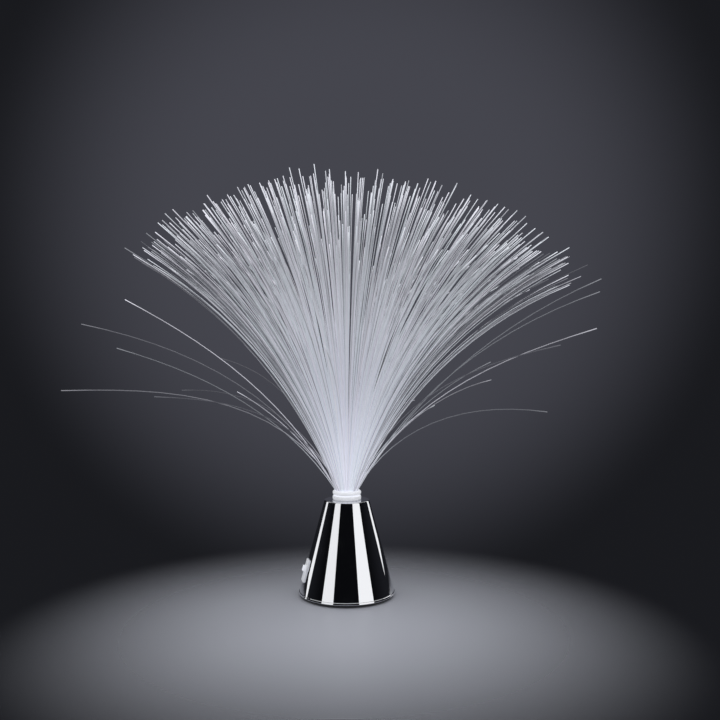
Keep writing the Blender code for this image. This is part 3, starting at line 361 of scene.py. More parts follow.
floor_finish = Finish("floor", Roughness=0.45, Base_Color=FLOOR_COLOUR)
nearby = floor_finish.vector("ADD", floor_finish.place(), FLOOR_SHIFT)
reach = floor_finish.vector("LENGTH", nearby)
gone = floor_finish.step(reach, FLOOR_FADE_START, FLOOR_FADE_END)
clear = floor_finish.node("ShaderNodeBsdfTransparent", {"Color": (1.0, 1.0, 1.0)})
shader_out = Field(floor_finish, floor_finish.shader.outputs["BSDF"])
faded = floor_finish.node("ShaderNodeMixShader", {0: gone, 1: shader_out, 2: clear})
floor_finish.tree.links.new(faded.socket, floor_finish.tree.nodes["Material Output"].inputs["Surface"])
floor_data.materials.append(floor_finish.material)
print("floor ready")

# %% [markdown]
# Most pieces of this lamp are turned: an outline of radius and height swept once round the axis.
# Real moulded edges are never sharp, so the helper first rounds the outline's corners with arcs.
# Fine steps matter here, because a mirror shows every flat.
# %% Helpers for turned and blocky pieces
ROUND_STEPS = 5
EDGE_STEPS = 4
CONE_SIDES = 240
RING_SIDES = 128
CORE_SIDES = 96
SHARP = math.radians(40)
WELD = 0.0000005
ON_AXIS = 0.000001


def rounded(corners, radii):
    """A closed outline with an arc in place of each corner that is given a radius."""
    outline = []
    for index, corner in enumerate(corners):
        corner = Vector(corner)
        radius = radii[index]
        before = Vector(corners[index - 1]) - corner
        after = Vector(corners[(index + 1) % len(corners)]) - corner
        if not radius:
            outline.append(corner)
            continue
        half = before.angle(after) / 2
        reach = radius / math.tan(half)
        start = corner + before.normalized() * reach
        end = corner + after.normalized() * reach
        centre = corner + (before.normalized() + after.normalized()).normalized() * radius / math.sin(half)
        first, last = start - centre, end - centre
        angle = first.angle(last)
        for step in range(ROUND_STEPS + 1):
            share = step / ROUND_STEPS
            weight_first = math.sin((1 - share) * angle) / math.sin(angle)
            weight_last = math.sin(share * angle) / math.sin(angle)
            outline.append(centre + first * weight_first + last * weight_last)
    return outline


def finished(name, bm, finish, body, smooth=True):
    """A bmesh as a named piece that faces outwards and rides on its body."""
    bmesh.ops.remove_doubles(bm, verts=bm.verts, dist=WELD)
    bmesh.ops.recalc_face_normals(bm, faces=bm.faces)
    mesh = bpy.data.meshes.new(name)
    bm.to_mesh(mesh)
    bm.free()
    if smooth:
        mesh.shade_smooth()
        mesh.set_sharp_from_angle(angle=SHARP)
    mesh.materials.append(finish.material)
    piece = bpy.data.objects.new(name, mesh)
    collection.objects.link(piece)
    if body:
        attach(piece, body)
    return piece


def turned_mesh(outline, sides):
    """Sweep a closed outline of radius and height once round the lamp's axis."""
    bm = bmesh.new()
    rings = []
    for radius, z in outline:
        if radius < ON_AXIS:
            rings.append([bm.verts.new((0, 0, z))] * sides)
            continue
        angles = [math.tau * side / sides for side in range(sides)]
        rings.append([bm.verts.new((radius * math.cos(a), radius * math.sin(a), z)) for a in angles])
    for ring, following in zip(rings, rings[1:] + rings[:1]):
        for side in range(sides):
            after = (side + 1) % sides
            corners = [ring[side], ring[after], following[after], following[side]]
            corners = list(dict.fromkeys(corners))
            if len(corners) > 2:
                bm.faces.new(corners)
    return bm


def block_mesh(low, high, radius):
    """A block between two corners with all its edges rounded."""
    bm = bmesh.new()
    bmesh.ops.create_cube(bm, size=1)
    bmesh.ops.scale(bm, verts=bm.verts, vec=Vector(high) - Vector(low))
    bmesh.ops.translate(bm, verts=bm.verts, vec=(Vector(high) + Vector(low)) / 2)
    if radius:
        bmesh.ops.bevel(bm, geom=bm.edges, offset=radius, segments=EDGE_STEPS, profile=0.5, affect="EDGES")
    return bm


def cut(piece, cutter):
    """Cut one piece with another, keep the result as a plain mesh, and drop the cutter."""
    change = piece.modifiers.new("cut", "BOOLEAN")
    change.operation = "DIFFERENCE"
    change.solver = "EXACT"
    change.object = cutter
    bpy.context.view_layer.update()
    evaluated = piece.evaluated_get(bpy.context.evaluated_depsgraph_get())
    made = bpy.data.meshes.new_from_object(evaluated)
    piece.modifiers.clear()
    piece.data = made
    bpy.data.objects.remove(cutter, do_unlink=True)


print("shape helpers ready")

# %% [markdown]
# The plating is a thin film of metal on moulded plastic: a mirror, but not a perfect one. It has a
# faint waviness from the moulding, hairline wiping marks, and a few duller patches from handling.
# All of it is slight, or the stripes would blur.
# %% Plated finish
plating = Finish("plated_metal", Base_Color=(0.87, 0.88, 0.91), Metallic=1.0)
handled = plating.step(plating.noise(90.0, 3.0), 0.52, 0.75)
wiped = plating.step(plating.noise(2600.0, 2.0, (1.0, 1.0, 0.04)), 0.62, 0.72)
plating.set("Roughness", plating.between(0.018, 0.060, handled) + wiped * 0.02)
waves = plating.noise(160.0, 1.0, (1.0, 1.0, 0.25))
plating.bump(waves, 0.00001, 0.12)
print("plating ready")

# %% [markdown]
# The cone is the lamp's body and its mirror. It has a flat deck with a hole for the socket, a narrow
# lip at the foot and a hollow inside. It is turned from one outline, with rounded edges that catch
# the bright line along the rim, and then the window for the switch is cut through its flank.
# %% Cone
SWITCH_DIRECTION = math.radians(192)
SWITCH_HEIGHT = 0.0207
BEZEL_WIDTH = 0.0084
BEZEL_HEIGHT = 0.0176
BEZEL_PROUD = 0.0011
BEZEL_BEHIND = 0.0005
WINDOW_REACH = 0.004


def cone_radius(z):
    return CONE_TOP_RADIUS + CONE_SLOPE * (CONE_TOP - z)


CONE_TILT = math.atan(CONE_SLOPE)
switch_spot = Vector((
    cone_radius(SWITCH_HEIGHT) * math.cos(SWITCH_DIRECTION),
    cone_radius(SWITCH_HEIGHT) * math.sin(SWITCH_DIRECTION),
    SWITCH_HEIGHT,
))
turn = Matrix.Rotation(SWITCH_DIRECTION, 4, "Z") @ Matrix.Rotation(-CONE_TILT, 4, "Y")
switch_frame = Matrix.Translation(switch_spot) @ turn

lip_top = CONE_FOOT + CONE_LIP_HEIGHT
cone_corners = [
    (cone_radius(CONE_FOOT) - CONE_WALL, CONE_FOOT),
    (cone_radius(CONE_FOOT) + CONE_LIP, CONE_FOOT),
    (cone_radius(lip_top) + CONE_LIP, lip_top),
    (cone_radius(lip_top + CONE_LIP), lip_top + CONE_LIP),
    (CONE_TOP_RADIUS, CONE_TOP),
    (SOCKET_RADIUS + SLIT, CONE_TOP),
    (SOCKET_RADIUS + SLIT, CONE_TOP - DECK_THICKNESS),
    (cone_radius(CONE_TOP - DECK_THICKNESS) - CONE_WALL, CONE_TOP - DECK_THICKNESS),
]
cone_rounds = [0.0, 0.0003, 0.0002, 0.0001, 0.0009, 0.00015, 0.0, 0.0]
cone = finished("cone", turned_mesh(rounded(cone_corners, cone_rounds), CONE_SIDES), plating, None)
window = block_mesh(
    (-WINDOW_REACH, -BEZEL_WIDTH / 2 - SLIT, -BEZEL_HEIGHT / 2 - SLIT),
    (WINDOW_REACH, BEZEL_WIDTH / 2 + SLIT, BEZEL_HEIGHT / 2 + SLIT),
    0,
)
window.transform(switch_frame)
cut(cone, finished("window", window, plating, None, smooth=False))
print("cone", len(cone.data.polygons), "faces")

# %% [markdown]
# Where the window was cut, the mesh has odd long faces, and a mirror would show them as kinks. So
# every corner on the flank is given the exact direction that a cone has there, worked out from its
# place. The other faces keep the normals that Blender finds.
# %% True normals for the flank
FLANK_LIKENESS = 0.9995
SMALLEST_FACE = 0.0000001

mesh = cone.data
mesh.shade_smooth()
mesh.set_sharp_from_angle(angle=SHARP)
normals = [Vector((0, 0, 0))] * len(mesh.loops)
flank = 0
for face in mesh.polygons:
    outward = Vector((face.center.x, face.center.y, 0)).normalized()
    true = (outward * math.cos(CONE_TILT) + Vector((0, 0, math.sin(CONE_TILT)))).normalized()
    if face.normal.dot(true) > FLANK_LIKENESS and face.area > SMALLEST_FACE:
        flank += 1
        for loop_index in face.loop_indices:
            corner = mesh.vertices[mesh.loops[loop_index].vertex_index].co
            outward = Vector((corner.x, corner.y, 0)).normalized()
            normals[loop_index] = outward * math.cos(CONE_TILT) + Vector((0, 0, math.sin(CONE_TILT)))
mesh.normals_split_custom_set(normals)
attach(cone, "base")
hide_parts("cone_shell")
print(flank, "flank faces have the cone's own normals")

# %% [markdown]
# Two white rings stand on the deck. The lower one is the socket, fixed in the cone; the upper one is the
# flange of the plug that holds the fibres. Both are moulded in a milky plastic. Its finish has a painted
# glow, stronger towards the middle and the top, in place of the light that the plastic takes from the lamps
# below.
# %% White plastic
GLOW_REACH = 1.1
GLOW_BELOW_DECK = 0.004


def milky_plastic(name, colour):
    """Smooth moulded plastic with a fine grain."""
    made = Finish(name, Base_Color=colour, IOR=1.49)
    grain = made.noise(1400.0, 2.0)
    made.set("Roughness", made.between(0.24, 0.38, grain))
    made.bump(grain, 0.00002, 0.25)
    return made


white_plastic = milky_plastic("white_plastic", (0.86, 0.87, 0.90))
# Painted glow: emission that grows towards the axis and towards the top of the rings.
level_place = white_plastic.vector("MULTIPLY", white_plastic.place(), (1.0, 1.0, 0.0))
axis_distance = white_plastic.vector("LENGTH", level_place)
near_axis = 1 - white_plastic.step(axis_distance, CORE_RADIUS, COLLAR_RADIUS * GLOW_REACH)
raised = white_plastic.step(white_plastic.place("Z"), CONE_TOP - GLOW_BELOW_DECK, plug_high.z)
glow = near_axis * raised
white_plastic.set(
    "Emission Color", white_plastic.blend((0.10, 0.10, 0.11), (0.78, 0.79, 0.86), glow * 0.6 + raised * 0.4)
)
white_plastic.set("Emission Strength", 0.48)
print("white plastic ready")

# %% [markdown]
# The socket's collar and the plug's flange look like two equal white rings with a dark line between
# them. Both are turned from outlines with well rounded corners: the upper one is nearly a half round,
# which is what makes the two read as rings and not as one tube.
# %% Socket collar and plug
FLANGE_ROUND_SHARE = 0.46
FLANGE_DISH = 0.0018
collar_corners = [
    (SOCKET_BORE, collar_low.z),
    (SOCKET_RADIUS, collar_low.z),
    (SOCKET_RADIUS, CONE_TOP + SLIT),
    (COLLAR_RADIUS, CONE_TOP + SLIT),
    (COLLAR_RADIUS, collar_high.z),
    (SOCKET_BORE, collar_high.z),
]
collar_rounds = [0.0002, 0.0002, 0.0, 0.0005, 0.0009, 0.0004]
collar_mesh = turned_mesh(rounded(collar_corners, collar_rounds), RING_SIDES)
collar = finished("collar", collar_mesh, white_plastic, "base")
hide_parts("socket_collar")

flange_bottom = collar_high.z + SLIT
flange_round = (plug_high.z - flange_bottom) * FLANGE_ROUND_SHARE
plug_corners = [
    (PLUG_BORE, plug_low.z),
    (PLUG_RADIUS, plug_low.z),
    (PLUG_RADIUS, flange_bottom),
    (COLLAR_RADIUS, flange_bottom),
    (COLLAR_RADIUS, plug_high.z),
    (CORE_RADIUS + FLANGE_DISH, plug_high.z),
    (PLUG_BORE, CORE_TOP),
]
plug_rounds = [0.0003, 0.0004, 0.0, flange_round, flange_round, 0.0004, 0.0]
plug_mesh = turned_mesh(rounded(plug_corners, plug_rounds), RING_SIDES)
plug = finished("plug", plug_mesh, white_plastic, "fibre_spray")
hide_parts("fibre_ferrule")
print("collar and plug turned")

# %% [markdown]
# The fibres are potted in clear resin inside the plug, and cut and polished flush with its lower end,
# where the light comes in. The pattern of fibre ends is drawn in the finish: round bright dots in a
# slightly darker resin.
# %% Potted core
resin = Finish("potting_resin", Roughness=0.12, IOR=1.5, Coat_Weight=0.3)
dots = resin.node("ShaderNodeTexVoronoi", {"Vector": resin.place(), "Scale": 1700.0})
fibre_end = 1 - resin.step(dots, 0.30, 0.42)
resin.set("Base Color", resin.blend((0.42, 0.43, 0.46), (0.86, 0.90, 0.96), fibre_end))
resin.set("Emission Color", resin.blend((0.05, 0.05, 0.06), (0.80, 0.86, 1.00), fibre_end))
resin.set("Emission Strength", 0.25)
core_bottom = plug_low.z + SLIT
core_corners = [(0, core_bottom), (CORE_RADIUS, core_bottom), (CORE_RADIUS, CORE_TOP), (0, CORE_TOP)]
core_mesh = turned_mesh(rounded(core_corners, [0, 0.0002, 0.0004, 0]), CORE_SIDES)
core = finished("potted_core", core_mesh, resin, "fibre_spray")
print("core potted")

# %% [markdown]
# The spray is some hundreds of springy fibres. They leave the plug nearly upright, and the further
# out a fibre is rooted, the more it leans and bends over. The real bundle was combed a little to the
# right, so that side leans lowest. These sizes are the same as those of the solid fibres, but for
# the first stray, which is a hair shorter, so that its round end stays within the lamp's outer size.
# A tone is how brightly a fibre is lit. It is drawn between the dullest one and 1, and towards the
# fan's left and right it is raised to a power: the middling fibres there are dull, the best stay
# bright, and the gaps between them show.
# %% Sizes of the spray
FIBRE_LENGTH = 0.2551
SOLID_FIBRE_RADIUS = 0.00032
ROOT_EDGE = 0.00005
ROOT_PITCH = 0.0007
RING_PITCH = 0.00069
SLICE_COUNT = 6
ROOT_LEAN = math.radians(22.3)
TIP_LEAN = math.radians(64.8)
ROOT_SIDE_SHARE = 0.049
TIP_SIDE_SHARE = 0.065
LEAN_SPREAD_SHARE = 0.02
LENGTH_SPREAD_SHARE = 0.05
SOLID_SEED = 7
DULLEST = 0.35
SIDE_CONTRAST = 3
SIDE_POWER = 6
# Direction, lean at root and tip in degrees, how early it bends, length share, brightness
STRAYS = [
    (207, 27.3, 90.2, 1.77, 0.9255, 0.22),
    (201, 27.5, 77.9, 1.27, 0.943, 0.18),
    (177, 27.5, 62, 1.48, 0.92, 0.75),
    (189, 32.6, 72.9, 1.37, 0.819, 0.24),
    (171, 30.3, 62, 1, 0.457, 0.55),
    (147, 27.5, 92, 1.47, 0.795, 0.1),
    (333, 28.9, 95.4, 1.23, 0.696, 0.16),
    (327, 29.7, 73.8, 1.55, 0.923, 0.42),
    (351, 27, 70.4, 1.12, 0.981, 0.24),
    (345, 29.8, 67.2, 1, 0.993, 0.24),
    (3, 27, 64.8, 1.02, 0.598, 0.26),
    (21, 30, 78.7, 1, 0.614, 0.3),
    (27, 27, 68, 1.04, 0.403, 0.45),
    (87, 28, 78, 1.4, 0.85, 0.5),
    (267, 28, 78, 1.4, 0.85, 0.5),
    (231, 31, 86, 1.6, 0.8, 0.08),
    (309, 30, 80, 1.5, 0.93, 0.1),
    (129, 30, 82, 1.5, 0.91, 0.08),
    (63, 29, 88, 1.3, 0.6, 0.3),
]
ROOT_VALUES = ["direction", "root_lean", "tip_lean", "bend", "length", "tone"]
print(len(STRAYS), "strays")

# %% [markdown]
# The solid spray is potted in six slices, and in each the fibres stand in rings. The same rule is
# followed here, with the same seed, so that every fibre that can be seen has its solid. A stray is
# one of the outermost fibres that has worked loose: it takes the place of the one that grew there.
# %% Roots of the solid fibres
def slice_roots(start):
    """One slice's roots: distance from the axis, angle of the root, and angle the fibre leans to."""
    outer = CORE_RADIUS - SOLID_FIBRE_RADIUS - ROOT_EDGE
    margin = SLIT / 2 + SOLID_FIBRE_RADIUS + ROOT_EDGE
    slice_angle = math.tau / SLICE_COUNT
    rows = []
    ring = 0
    while outer - ring * RING_PITCH > 2 * margin:
        distance = outer - ring * RING_PITCH
        inset = math.asin(margin / distance)
        room = slice_angle - 2 * inset
        count = int(room * distance / ROOT_PITCH) + 1
        for place in range(count):
            fan_share = (place + 1 / 2) / count
            room_share = place / (count - 1) if count > 1 else fan_share
            rows.append((distance, start + inset + room_share * room, start + fan_share * slice_angle))
        ring += 1
    return rows


def stray_at(angle, half_step):
    """The stray that leans this way, if any."""
    for stray in STRAYS:
        away = (math.radians(stray[0]) - angle + math.pi) % math.tau - math.pi
        if -half_step < away <= half_step:
            return stray
    return None


solid_chance = random.Random(SOLID_SEED)
tone_chance = random.Random(SOLID_SEED + 1)
solid_roots = []
for number in range(SLICE_COUNT):
    rows = slice_roots(number * math.tau / SLICE_COUNT)
    widest = max(row[0] for row in rows)
    half_step = math.tau / SLICE_COUNT / sum(row[0] == widest for row in rows) / 2
    for distance, root_angle, angle in rows:
        spread = 1 + LEAN_SPREAD_SHARE * (2 * solid_chance.random() - 1)
        length = FIBRE_LENGTH * (1 - LENGTH_SPREAD_SHARE * solid_chance.random())
        outness = distance / widest
        root_lean = ROOT_LEAN * outness * (1 + ROOT_SIDE_SHARE * math.cos(angle))
        tip_lean = TIP_LEAN * outness * (1 + TIP_SIDE_SHARE * math.cos(angle)) * spread
        sideways = outness ** SIDE_POWER * math.cos(angle) ** 2
        tone = (DULLEST + (1 - DULLEST) * tone_chance.random()) ** (1 + SIDE_CONTRAST * sideways)
        numbers = [angle, root_lean, tip_lean, 1.0, length, tone]
        stray = stray_at(angle, half_step) if distance == widest else None
        if stray:
            leans = [math.radians(stray[1]), math.radians(stray[2])]
            numbers = [angle, *leans, stray[3], FIBRE_LENGTH * stray[4], stray[5]]
        place = (distance * math.cos(root_angle), distance * math.sin(root_angle), CORE_TOP)
        solid_roots.append((place, numbers))
print(len(solid_roots), "roots of solid fibres")

# %% [markdown]
# A real spray is fuller than its solids: finer fibres fill the space between them. They are thinner,
# uneven in length and tufted, and they never leave the fan. One rule covers them all, so Geometry
# Nodes grow them: a first tree sets their roots out, and a second grows a fibre from every root.
# %% Sizes of the fine fibres
TUFT_SCALE = 900.0
SWAY_SCALE = 760.0
CHANGE_AT_AXIS = 1.2
FINE_COUNT = 460
FINE_LENGTH = 0.2505
FINE_RADIUS = 0.00027
FIBRE_SIDES = 5
FIBRE_STEPS = 14
FINE_SPREAD = 0.06
LEAN_SPREAD = math.radians(1.6)
TURN_SPREAD = math.radians(3.5)
GOLDEN_TURN = math.pi * (3 - math.sqrt(5))
SEED = 11
print(FINE_COUNT, "fine fibres")

# %% [markdown]
# The seeds of a sunflower fill a circle evenly, each one turned by the golden angle from the last.
# The same rule packs the roots into the round core. Neighbouring fibres share a slow noise besides
# their own small random lean, so that the fan falls into tufts with gaps between them, as in life.
# The lean changes less the further out a fibre is, so the fan keeps its outline.
# %% Tree that sets out the roots
def geometry_tree(name, inputs):
    """A new geometry tree with its named inputs, and the fields that carry them."""
    made = bpy.data.node_groups.new(name, "GeometryNodeTree")
    for label, kind, default in inputs:
        added = made.interface.new_socket(label, in_out="INPUT", socket_type="NodeSocket" + kind)
        if default is not None:
            added.default_value = default
    made.interface.new_socket("Geometry", in_out="OUTPUT", socket_type="NodeSocketGeometry")
    tree = Tree(made)
    first = tree.node("NodeGroupInput")
    return tree, {label: first.also(label) for label, kind, default in inputs}


def stored(tree, geometry, name, value):
    """Keep a field on the points as a named attribute."""
    return tree.node(
        "GeometryNodeStoreNamedAttribute",
        {"Geometry": geometry, "Name": name, "Value": value},
        data_type="FLOAT",
        domain="POINT",
    )


root_inputs = [
    ("Count", "Int", FINE_COUNT),
    ("Core Radius", "Float", CORE_RADIUS),
    ("Core Top", "Float", CORE_TOP),
    ("Root Lean", "Float", ROOT_LEAN),
    ("Tip Lean", "Float", TIP_LEAN),
    ("Length", "Float", FINE_LENGTH),
    ("Seed", "Int", SEED),
]
roots, value = geometry_tree("spray_roots", root_inputs)


def chance(low, high, offset):
    """A random number for each root, the same on every run."""
    return roots.node(
        "FunctionNodeRandomValue",
        {"Min": low, "Max": high, "Seed": value["Seed"] + offset},
        data_type="FLOAT",
    )


index = roots.node("GeometryNodeInputIndex")
outness = ((index + 0.5) / value["Count"]) ** 0.5
turned = index * GOLDEN_TURN
root_distance = outness * (value["Core Radius"] - FINE_RADIUS - SLIT)
spot = roots.node(
    "ShaderNodeCombineXYZ",
    {"X": root_distance * turned.cosine(), "Y": root_distance * turned.sine(), "Z": value["Core Top"]},
)
points = roots.node("GeometryNodePoints", {"Count": value["Count"], "Position": spot})
position = roots.node("GeometryNodeInputPosition")
tuft = roots.node("ShaderNodeTexNoise", {"Vector": position, "Scale": TUFT_SCALE, "Detail": 1.0}) - 0.5
sway = roots.node(
    "ShaderNodeTexNoise",
    {"Vector": position, "Scale": SWAY_SCALE, "Detail": 1.0, "W": 3.0},
    noise_dimensions="4D",
) - 0.5
lean_change = tuft * 2 * LEAN_SPREAD + chance(-0.5, 0.5, 1) * LEAN_SPREAD
turn_change = sway * 2 * TURN_SPREAD + chance(-0.5, 0.5, 2) * TURN_SPREAD
rightwards = turned.cosine()
sideways = outness ** SIDE_POWER * rightwards ** 2
calmer = CHANGE_AT_AXIS - outness
wanted = {
    "direction": turned + turn_change,
    "root_lean": outness * value["Root Lean"] * (rightwards * ROOT_SIDE_SHARE + 1),
    "tip_lean": outness * value["Tip Lean"] * (rightwards * TIP_SIDE_SHARE + 1) + lean_change * calmer,
    "bend": 1.0,
    "length": value["Length"] * (1 - chance(0.0, FINE_SPREAD, 3)),
    "tone": chance(DULLEST, 1.0, 4) ** (sideways * SIDE_CONTRAST + 1),
}
for name in ROOT_VALUES:
    points = stored(roots, points, name, wanted[name])
roots.node("NodeGroupOutput", {"Geometry": points})
print("root tree has", len(roots.tree.nodes), "nodes")

# %% [markdown]
# A fibre that is heavy for its stiffness bends all along. At each step the tree works out the lean
# from the share of the way that has been gone, takes one short straight step in that direction, and
# adds the steps up along the fibre; the first point stays at the root. Because the fibres are little
# more than half a millimetre thick, five sides and a few steps are enough for each.
# %% Tree that grows the fibres
grow_inputs = [
    ("Roots", "Geometry", None),
    ("Steps", "Int", FIBRE_STEPS),
    ("Sides", "Int", FIBRE_SIDES),
    ("Radius", "Float", SOLID_FIBRE_RADIUS),
    ("Finish", "Material", None),
]
grow, value = geometry_tree("grow_fibres", grow_inputs)


def kept(name):
    """A number that was stored on the roots."""
    return grow.node("GeometryNodeInputNamedAttribute", {"Name": name}, data_type="FLOAT")


line = grow.node("GeometryNodeCurvePrimitiveLine", {"Start": (0, 0, 0), "End": (0, 0, 1)})
line = grow.node("GeometryNodeResampleCurve", {"Curve": line, "Count": value["Steps"] + 1})
copies = grow.node("GeometryNodeInstanceOnPoints", {"Points": value["Roots"], "Instance": line})
fibres = grow.node("GeometryNodeRealizeInstances", {"Geometry": copies})
share = grow.node("GeometryNodeSplineParameter", output="Factor")
middle = share - 0.5 / value["Steps"]
bent = 1 - (1 - middle) ** kept("bend")
lean = kept("root_lean") + (kept("tip_lean") - kept("root_lean")) * bent
stride = kept("length") / value["Steps"] * (share > 0.0001)
outward = lean.sine() * stride
step = grow.node(
    "ShaderNodeCombineXYZ",
    {
        "X": outward * kept("direction").cosine(),
        "Y": outward * kept("direction").sine(),
        "Z": lean.cosine() * stride,
    },
)
which = grow.node("GeometryNodeCurveOfPoint", output="Curve Index")
walked = grow.node(
    "GeometryNodeAccumulateField",
    {"Value": step, "Group ID": which},
    output="Leading",
    data_type="FLOAT_VECTOR",
    domain="POINT",
)
here = grow.node("GeometryNodeInputPosition")
upright = grow.node("ShaderNodeCombineXYZ", {"Z": share})
there = grow.vector("ADD", grow.vector("SUBTRACT", here, upright), walked)
bent_fibres = grow.node("GeometryNodeSetPosition", {"Geometry": fibres, "Position": there})
bent_fibres = stored(grow, bent_fibres, "along", share)
ring_sizes = {"Resolution": value["Sides"], "Radius": value["Radius"]}
ring = grow.node("GeometryNodeCurvePrimitiveCircle", ring_sizes)
tubes = grow.node("GeometryNodeCurveToMesh", {"Curve": bent_fibres, "Profile Curve": ring, "Fill Caps": True})
tubes = grow.node("GeometryNodeSetShadeSmooth", {"Geometry": tubes, "Shade Smooth": True})
tubes = grow.node("GeometryNodeSetMaterial", {"Geometry": tubes, "Material": value["Finish"]})
grow.node("NodeGroupOutput", {"Geometry": tubes})
print("grow tree has", len(grow.tree.nodes), "nodes")

# %% [markdown]
# A light fibre is a clear thread that leaks a little of its light all the way up and lets the rest out at its
# cut tip. So its finish is a pale bluish plastic with a glow that fades from the plug along the fibre and
# comes back, stronger, at the tip. Each fibre has its own tone, stored on its root, which is how brightly it
# is lit: some are cooler and some more lavender, and a dull one goes dark beyond the plug, the dullest
# soonest. That darkening is painted shade in the base colour. The base colour is also painted a little darker
# from half way along the fibre to near its tip. FADE_START and TIP_START are shares of the way along a fibre,
# DARK_SOONEST to FULLY_LIT are tones.
# %% Fibre finish
FADE_START = 0.50
TIP_START = 0.90
DARK_SOONEST = 0.3
DARK_LATER = 0.5
FULLY_LIT = 0.75
HUE_CHANGES = 9.0
COOL_HUE = (0.79, 0.83, 0.87)
LAVENDER_HUE = (0.85, 0.83, 0.90)

fibre_finish = Finish("light_fibre", Roughness=0.28, IOR=1.49, Specular_IOR_Level=0.5)
tone = fibre_finish.node("ShaderNodeAttribute", attribute_name="tone", output="Fac")
along = fibre_finish.node("ShaderNodeAttribute", attribute_name="along", output="Fac")
lavender = fibre_finish.step(tone * HUE_CHANGES % 1.0, 0.3, 0.7)
hue = fibre_finish.blend(COOL_HUE, LAVENDER_HUE, lavender)
bright = fibre_finish.step(tone, 0.0, FULLY_LIT)
lasting = fibre_finish.step(tone, DARK_SOONEST, DARK_LATER)
rooted = 1 - fibre_finish.step(along, 0.05, lasting * 0.50 + 0.40)
lit = bright + (1 - bright) * rooted * (lasting * 0.3 + 0.6)
tip_light = fibre_finish.step(along, TIP_START, 1.0)
root_light = 1 - fibre_finish.step(along, 0.0, FADE_START)
faded = fibre_finish.step(along, FADE_START, TIP_START) * (1 - tip_light)
# Painted shade: the base colour goes dark with a fibre's dullness, and a little darker from half way along
# it.
fibre_finish.set("Base Color", fibre_finish.blend((0.10, 0.10, 0.12), hue, lit * (1 - faded * 0.22)))
leak = (root_light * 0.34 + tip_light * 0.66 - faded * 0.10 + 0.22) * (lit * 0.9 + 0.1)
fibre_finish.set("Emission Color", fibre_finish.blend((0.0, 0.0, 0.0), (0.88, 0.90, 0.98), leak))
fibre_finish.set("Emission Strength", 0.45)
print("fibre finish ready")

# %% [markdown]
# Now the trees are put to work. Each runs as a modifier, and its result is taken as a plain mesh,
# which keeps the stored numbers for the finish. The modifier itself is gone afterwards.
# %% Grow the fine fibres
def made_by(name, trees, points=None):
    """The plain object that geometry trees make one after the other, from nothing or from points."""
    made = bpy.data.objects.new(name, points or bpy.data.meshes.new(name))
    collection.objects.link(made)
    for tree, settings in trees:
        modifier = made.modifiers.new(tree.tree.name, "NODES")
        modifier.node_group = tree.tree
        inputs = [item for item in tree.tree.interface.items_tree if item.in_out == "INPUT"]
        for item in inputs:
            if item.name in settings:
                modifier[item.identifier] = settings[item.name]
    evaluated = made.evaluated_get(bpy.context.evaluated_depsgraph_get())
    mesh = bpy.data.meshes.new_from_object(evaluated)
    made.modifiers.clear()
    made.data = mesh
    return made


fine = made_by(
    "fine_fibres",
    [(roots, {}), (grow, {"Radius": FINE_RADIUS, "Finish": fibre_finish.material})],
)
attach(fine, "fibre_spray")
print("fine fibres have", len(fine.data.polygons), "faces")

# %% [markdown]
# The fibres that have a solid, with the strays among them, start from single points that carry the
# numbers worked out above. The same second tree grows them, and they take the solid spray's place.
# %% Grow the solid fibres
root_points = bpy.data.meshes.new("solid_roots")
root_points.from_pydata([place for place, numbers in solid_roots], [], [])
for column, name in enumerate(ROOT_VALUES):
    attribute = root_points.attributes.new(name, "FLOAT", "POINT")
    attribute.data.foreach_set("value", [numbers[column] for place, numbers in solid_roots])
fan = made_by(
    "light_fibres",
    [(grow, {"Radius": SOLID_FIBRE_RADIUS, "Finish": fibre_finish.material})],
    root_points,
)
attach(fan, "fibre_spray")
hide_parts(*[f"fibre_bundle_{number}" for number in range(1, 7)])
print("fan has", len(fan.data.polygons), "faces")

# %% [markdown]
# The slide switch sits low on the left flank: a white frame let into the window, and a ribbed knob that
# slides up along the cone to switch the lamp on. Both are blocks with rounded edges, made flat and then
# turned into the slope of the cone. They are moulded in the same milky plastic as the rings, but with a
# painted glow of their own that is fainter, the knob's being the brighter one: painted light that stands in
# for a glint on the switch. One function makes both finishes.
# %% Slide switch
KNOB_WIDTH = 0.0034
KNOB_HEIGHT = 0.0044
KNOB_PROUD = 0.002
KNOB_ROOT = -0.0035
SWITCH_TRAVEL = 0.003
RIB_DEPTH = 0.0005
RIB_COUNT = 4
BEZEL_ROUND = 0.0006
KNOB_ROUND = 0.00045
SLOT_REACH = 0.001
GROOVE_HALF = 0.0002
GROOVE_SIDE = 0.003
GROOVE_OUT = 0.005


def painted_glow_plastic(name, strength):
    """Milky plastic with an uneven painted glow."""
    made = milky_plastic(name, (0.80, 0.81, 0.84))
    cloud = made.noise(300.0, 1.0)
    made.set("Emission Color", made.blend((0.55, 0.56, 0.61), (0.80, 0.82, 0.90), cloud))
    made.set("Emission Strength", strength)
    return made


# Painted glow standing in for a glint on the switch: fainter on the frame, brighter on the knob.
bezel_plastic = painted_glow_plastic("bezel_plastic", 0.14)
knob_plastic = painted_glow_plastic("knob_plastic", 0.36)
slot_half = (KNOB_HEIGHT + SWITCH_TRAVEL) / 2 + SLIT
bezel_back = -CONE_WALL - BEZEL_BEHIND
bezel_low = (bezel_back, -BEZEL_WIDTH / 2, -BEZEL_HEIGHT / 2)
bezel_high = (BEZEL_PROUD, BEZEL_WIDTH / 2, BEZEL_HEIGHT / 2)
bezel = finished("bezel", block_mesh(bezel_low, bezel_high, BEZEL_ROUND), bezel_plastic, None)
slot_low = (bezel_back - SLOT_REACH, -KNOB_WIDTH / 2 - SLIT, -slot_half)
slot_mesh = block_mesh(slot_low, (WINDOW_REACH, KNOB_WIDTH / 2 + SLIT, slot_half), 0)
cut(bezel, finished("slot", slot_mesh, bezel_plastic, None, smooth=False))

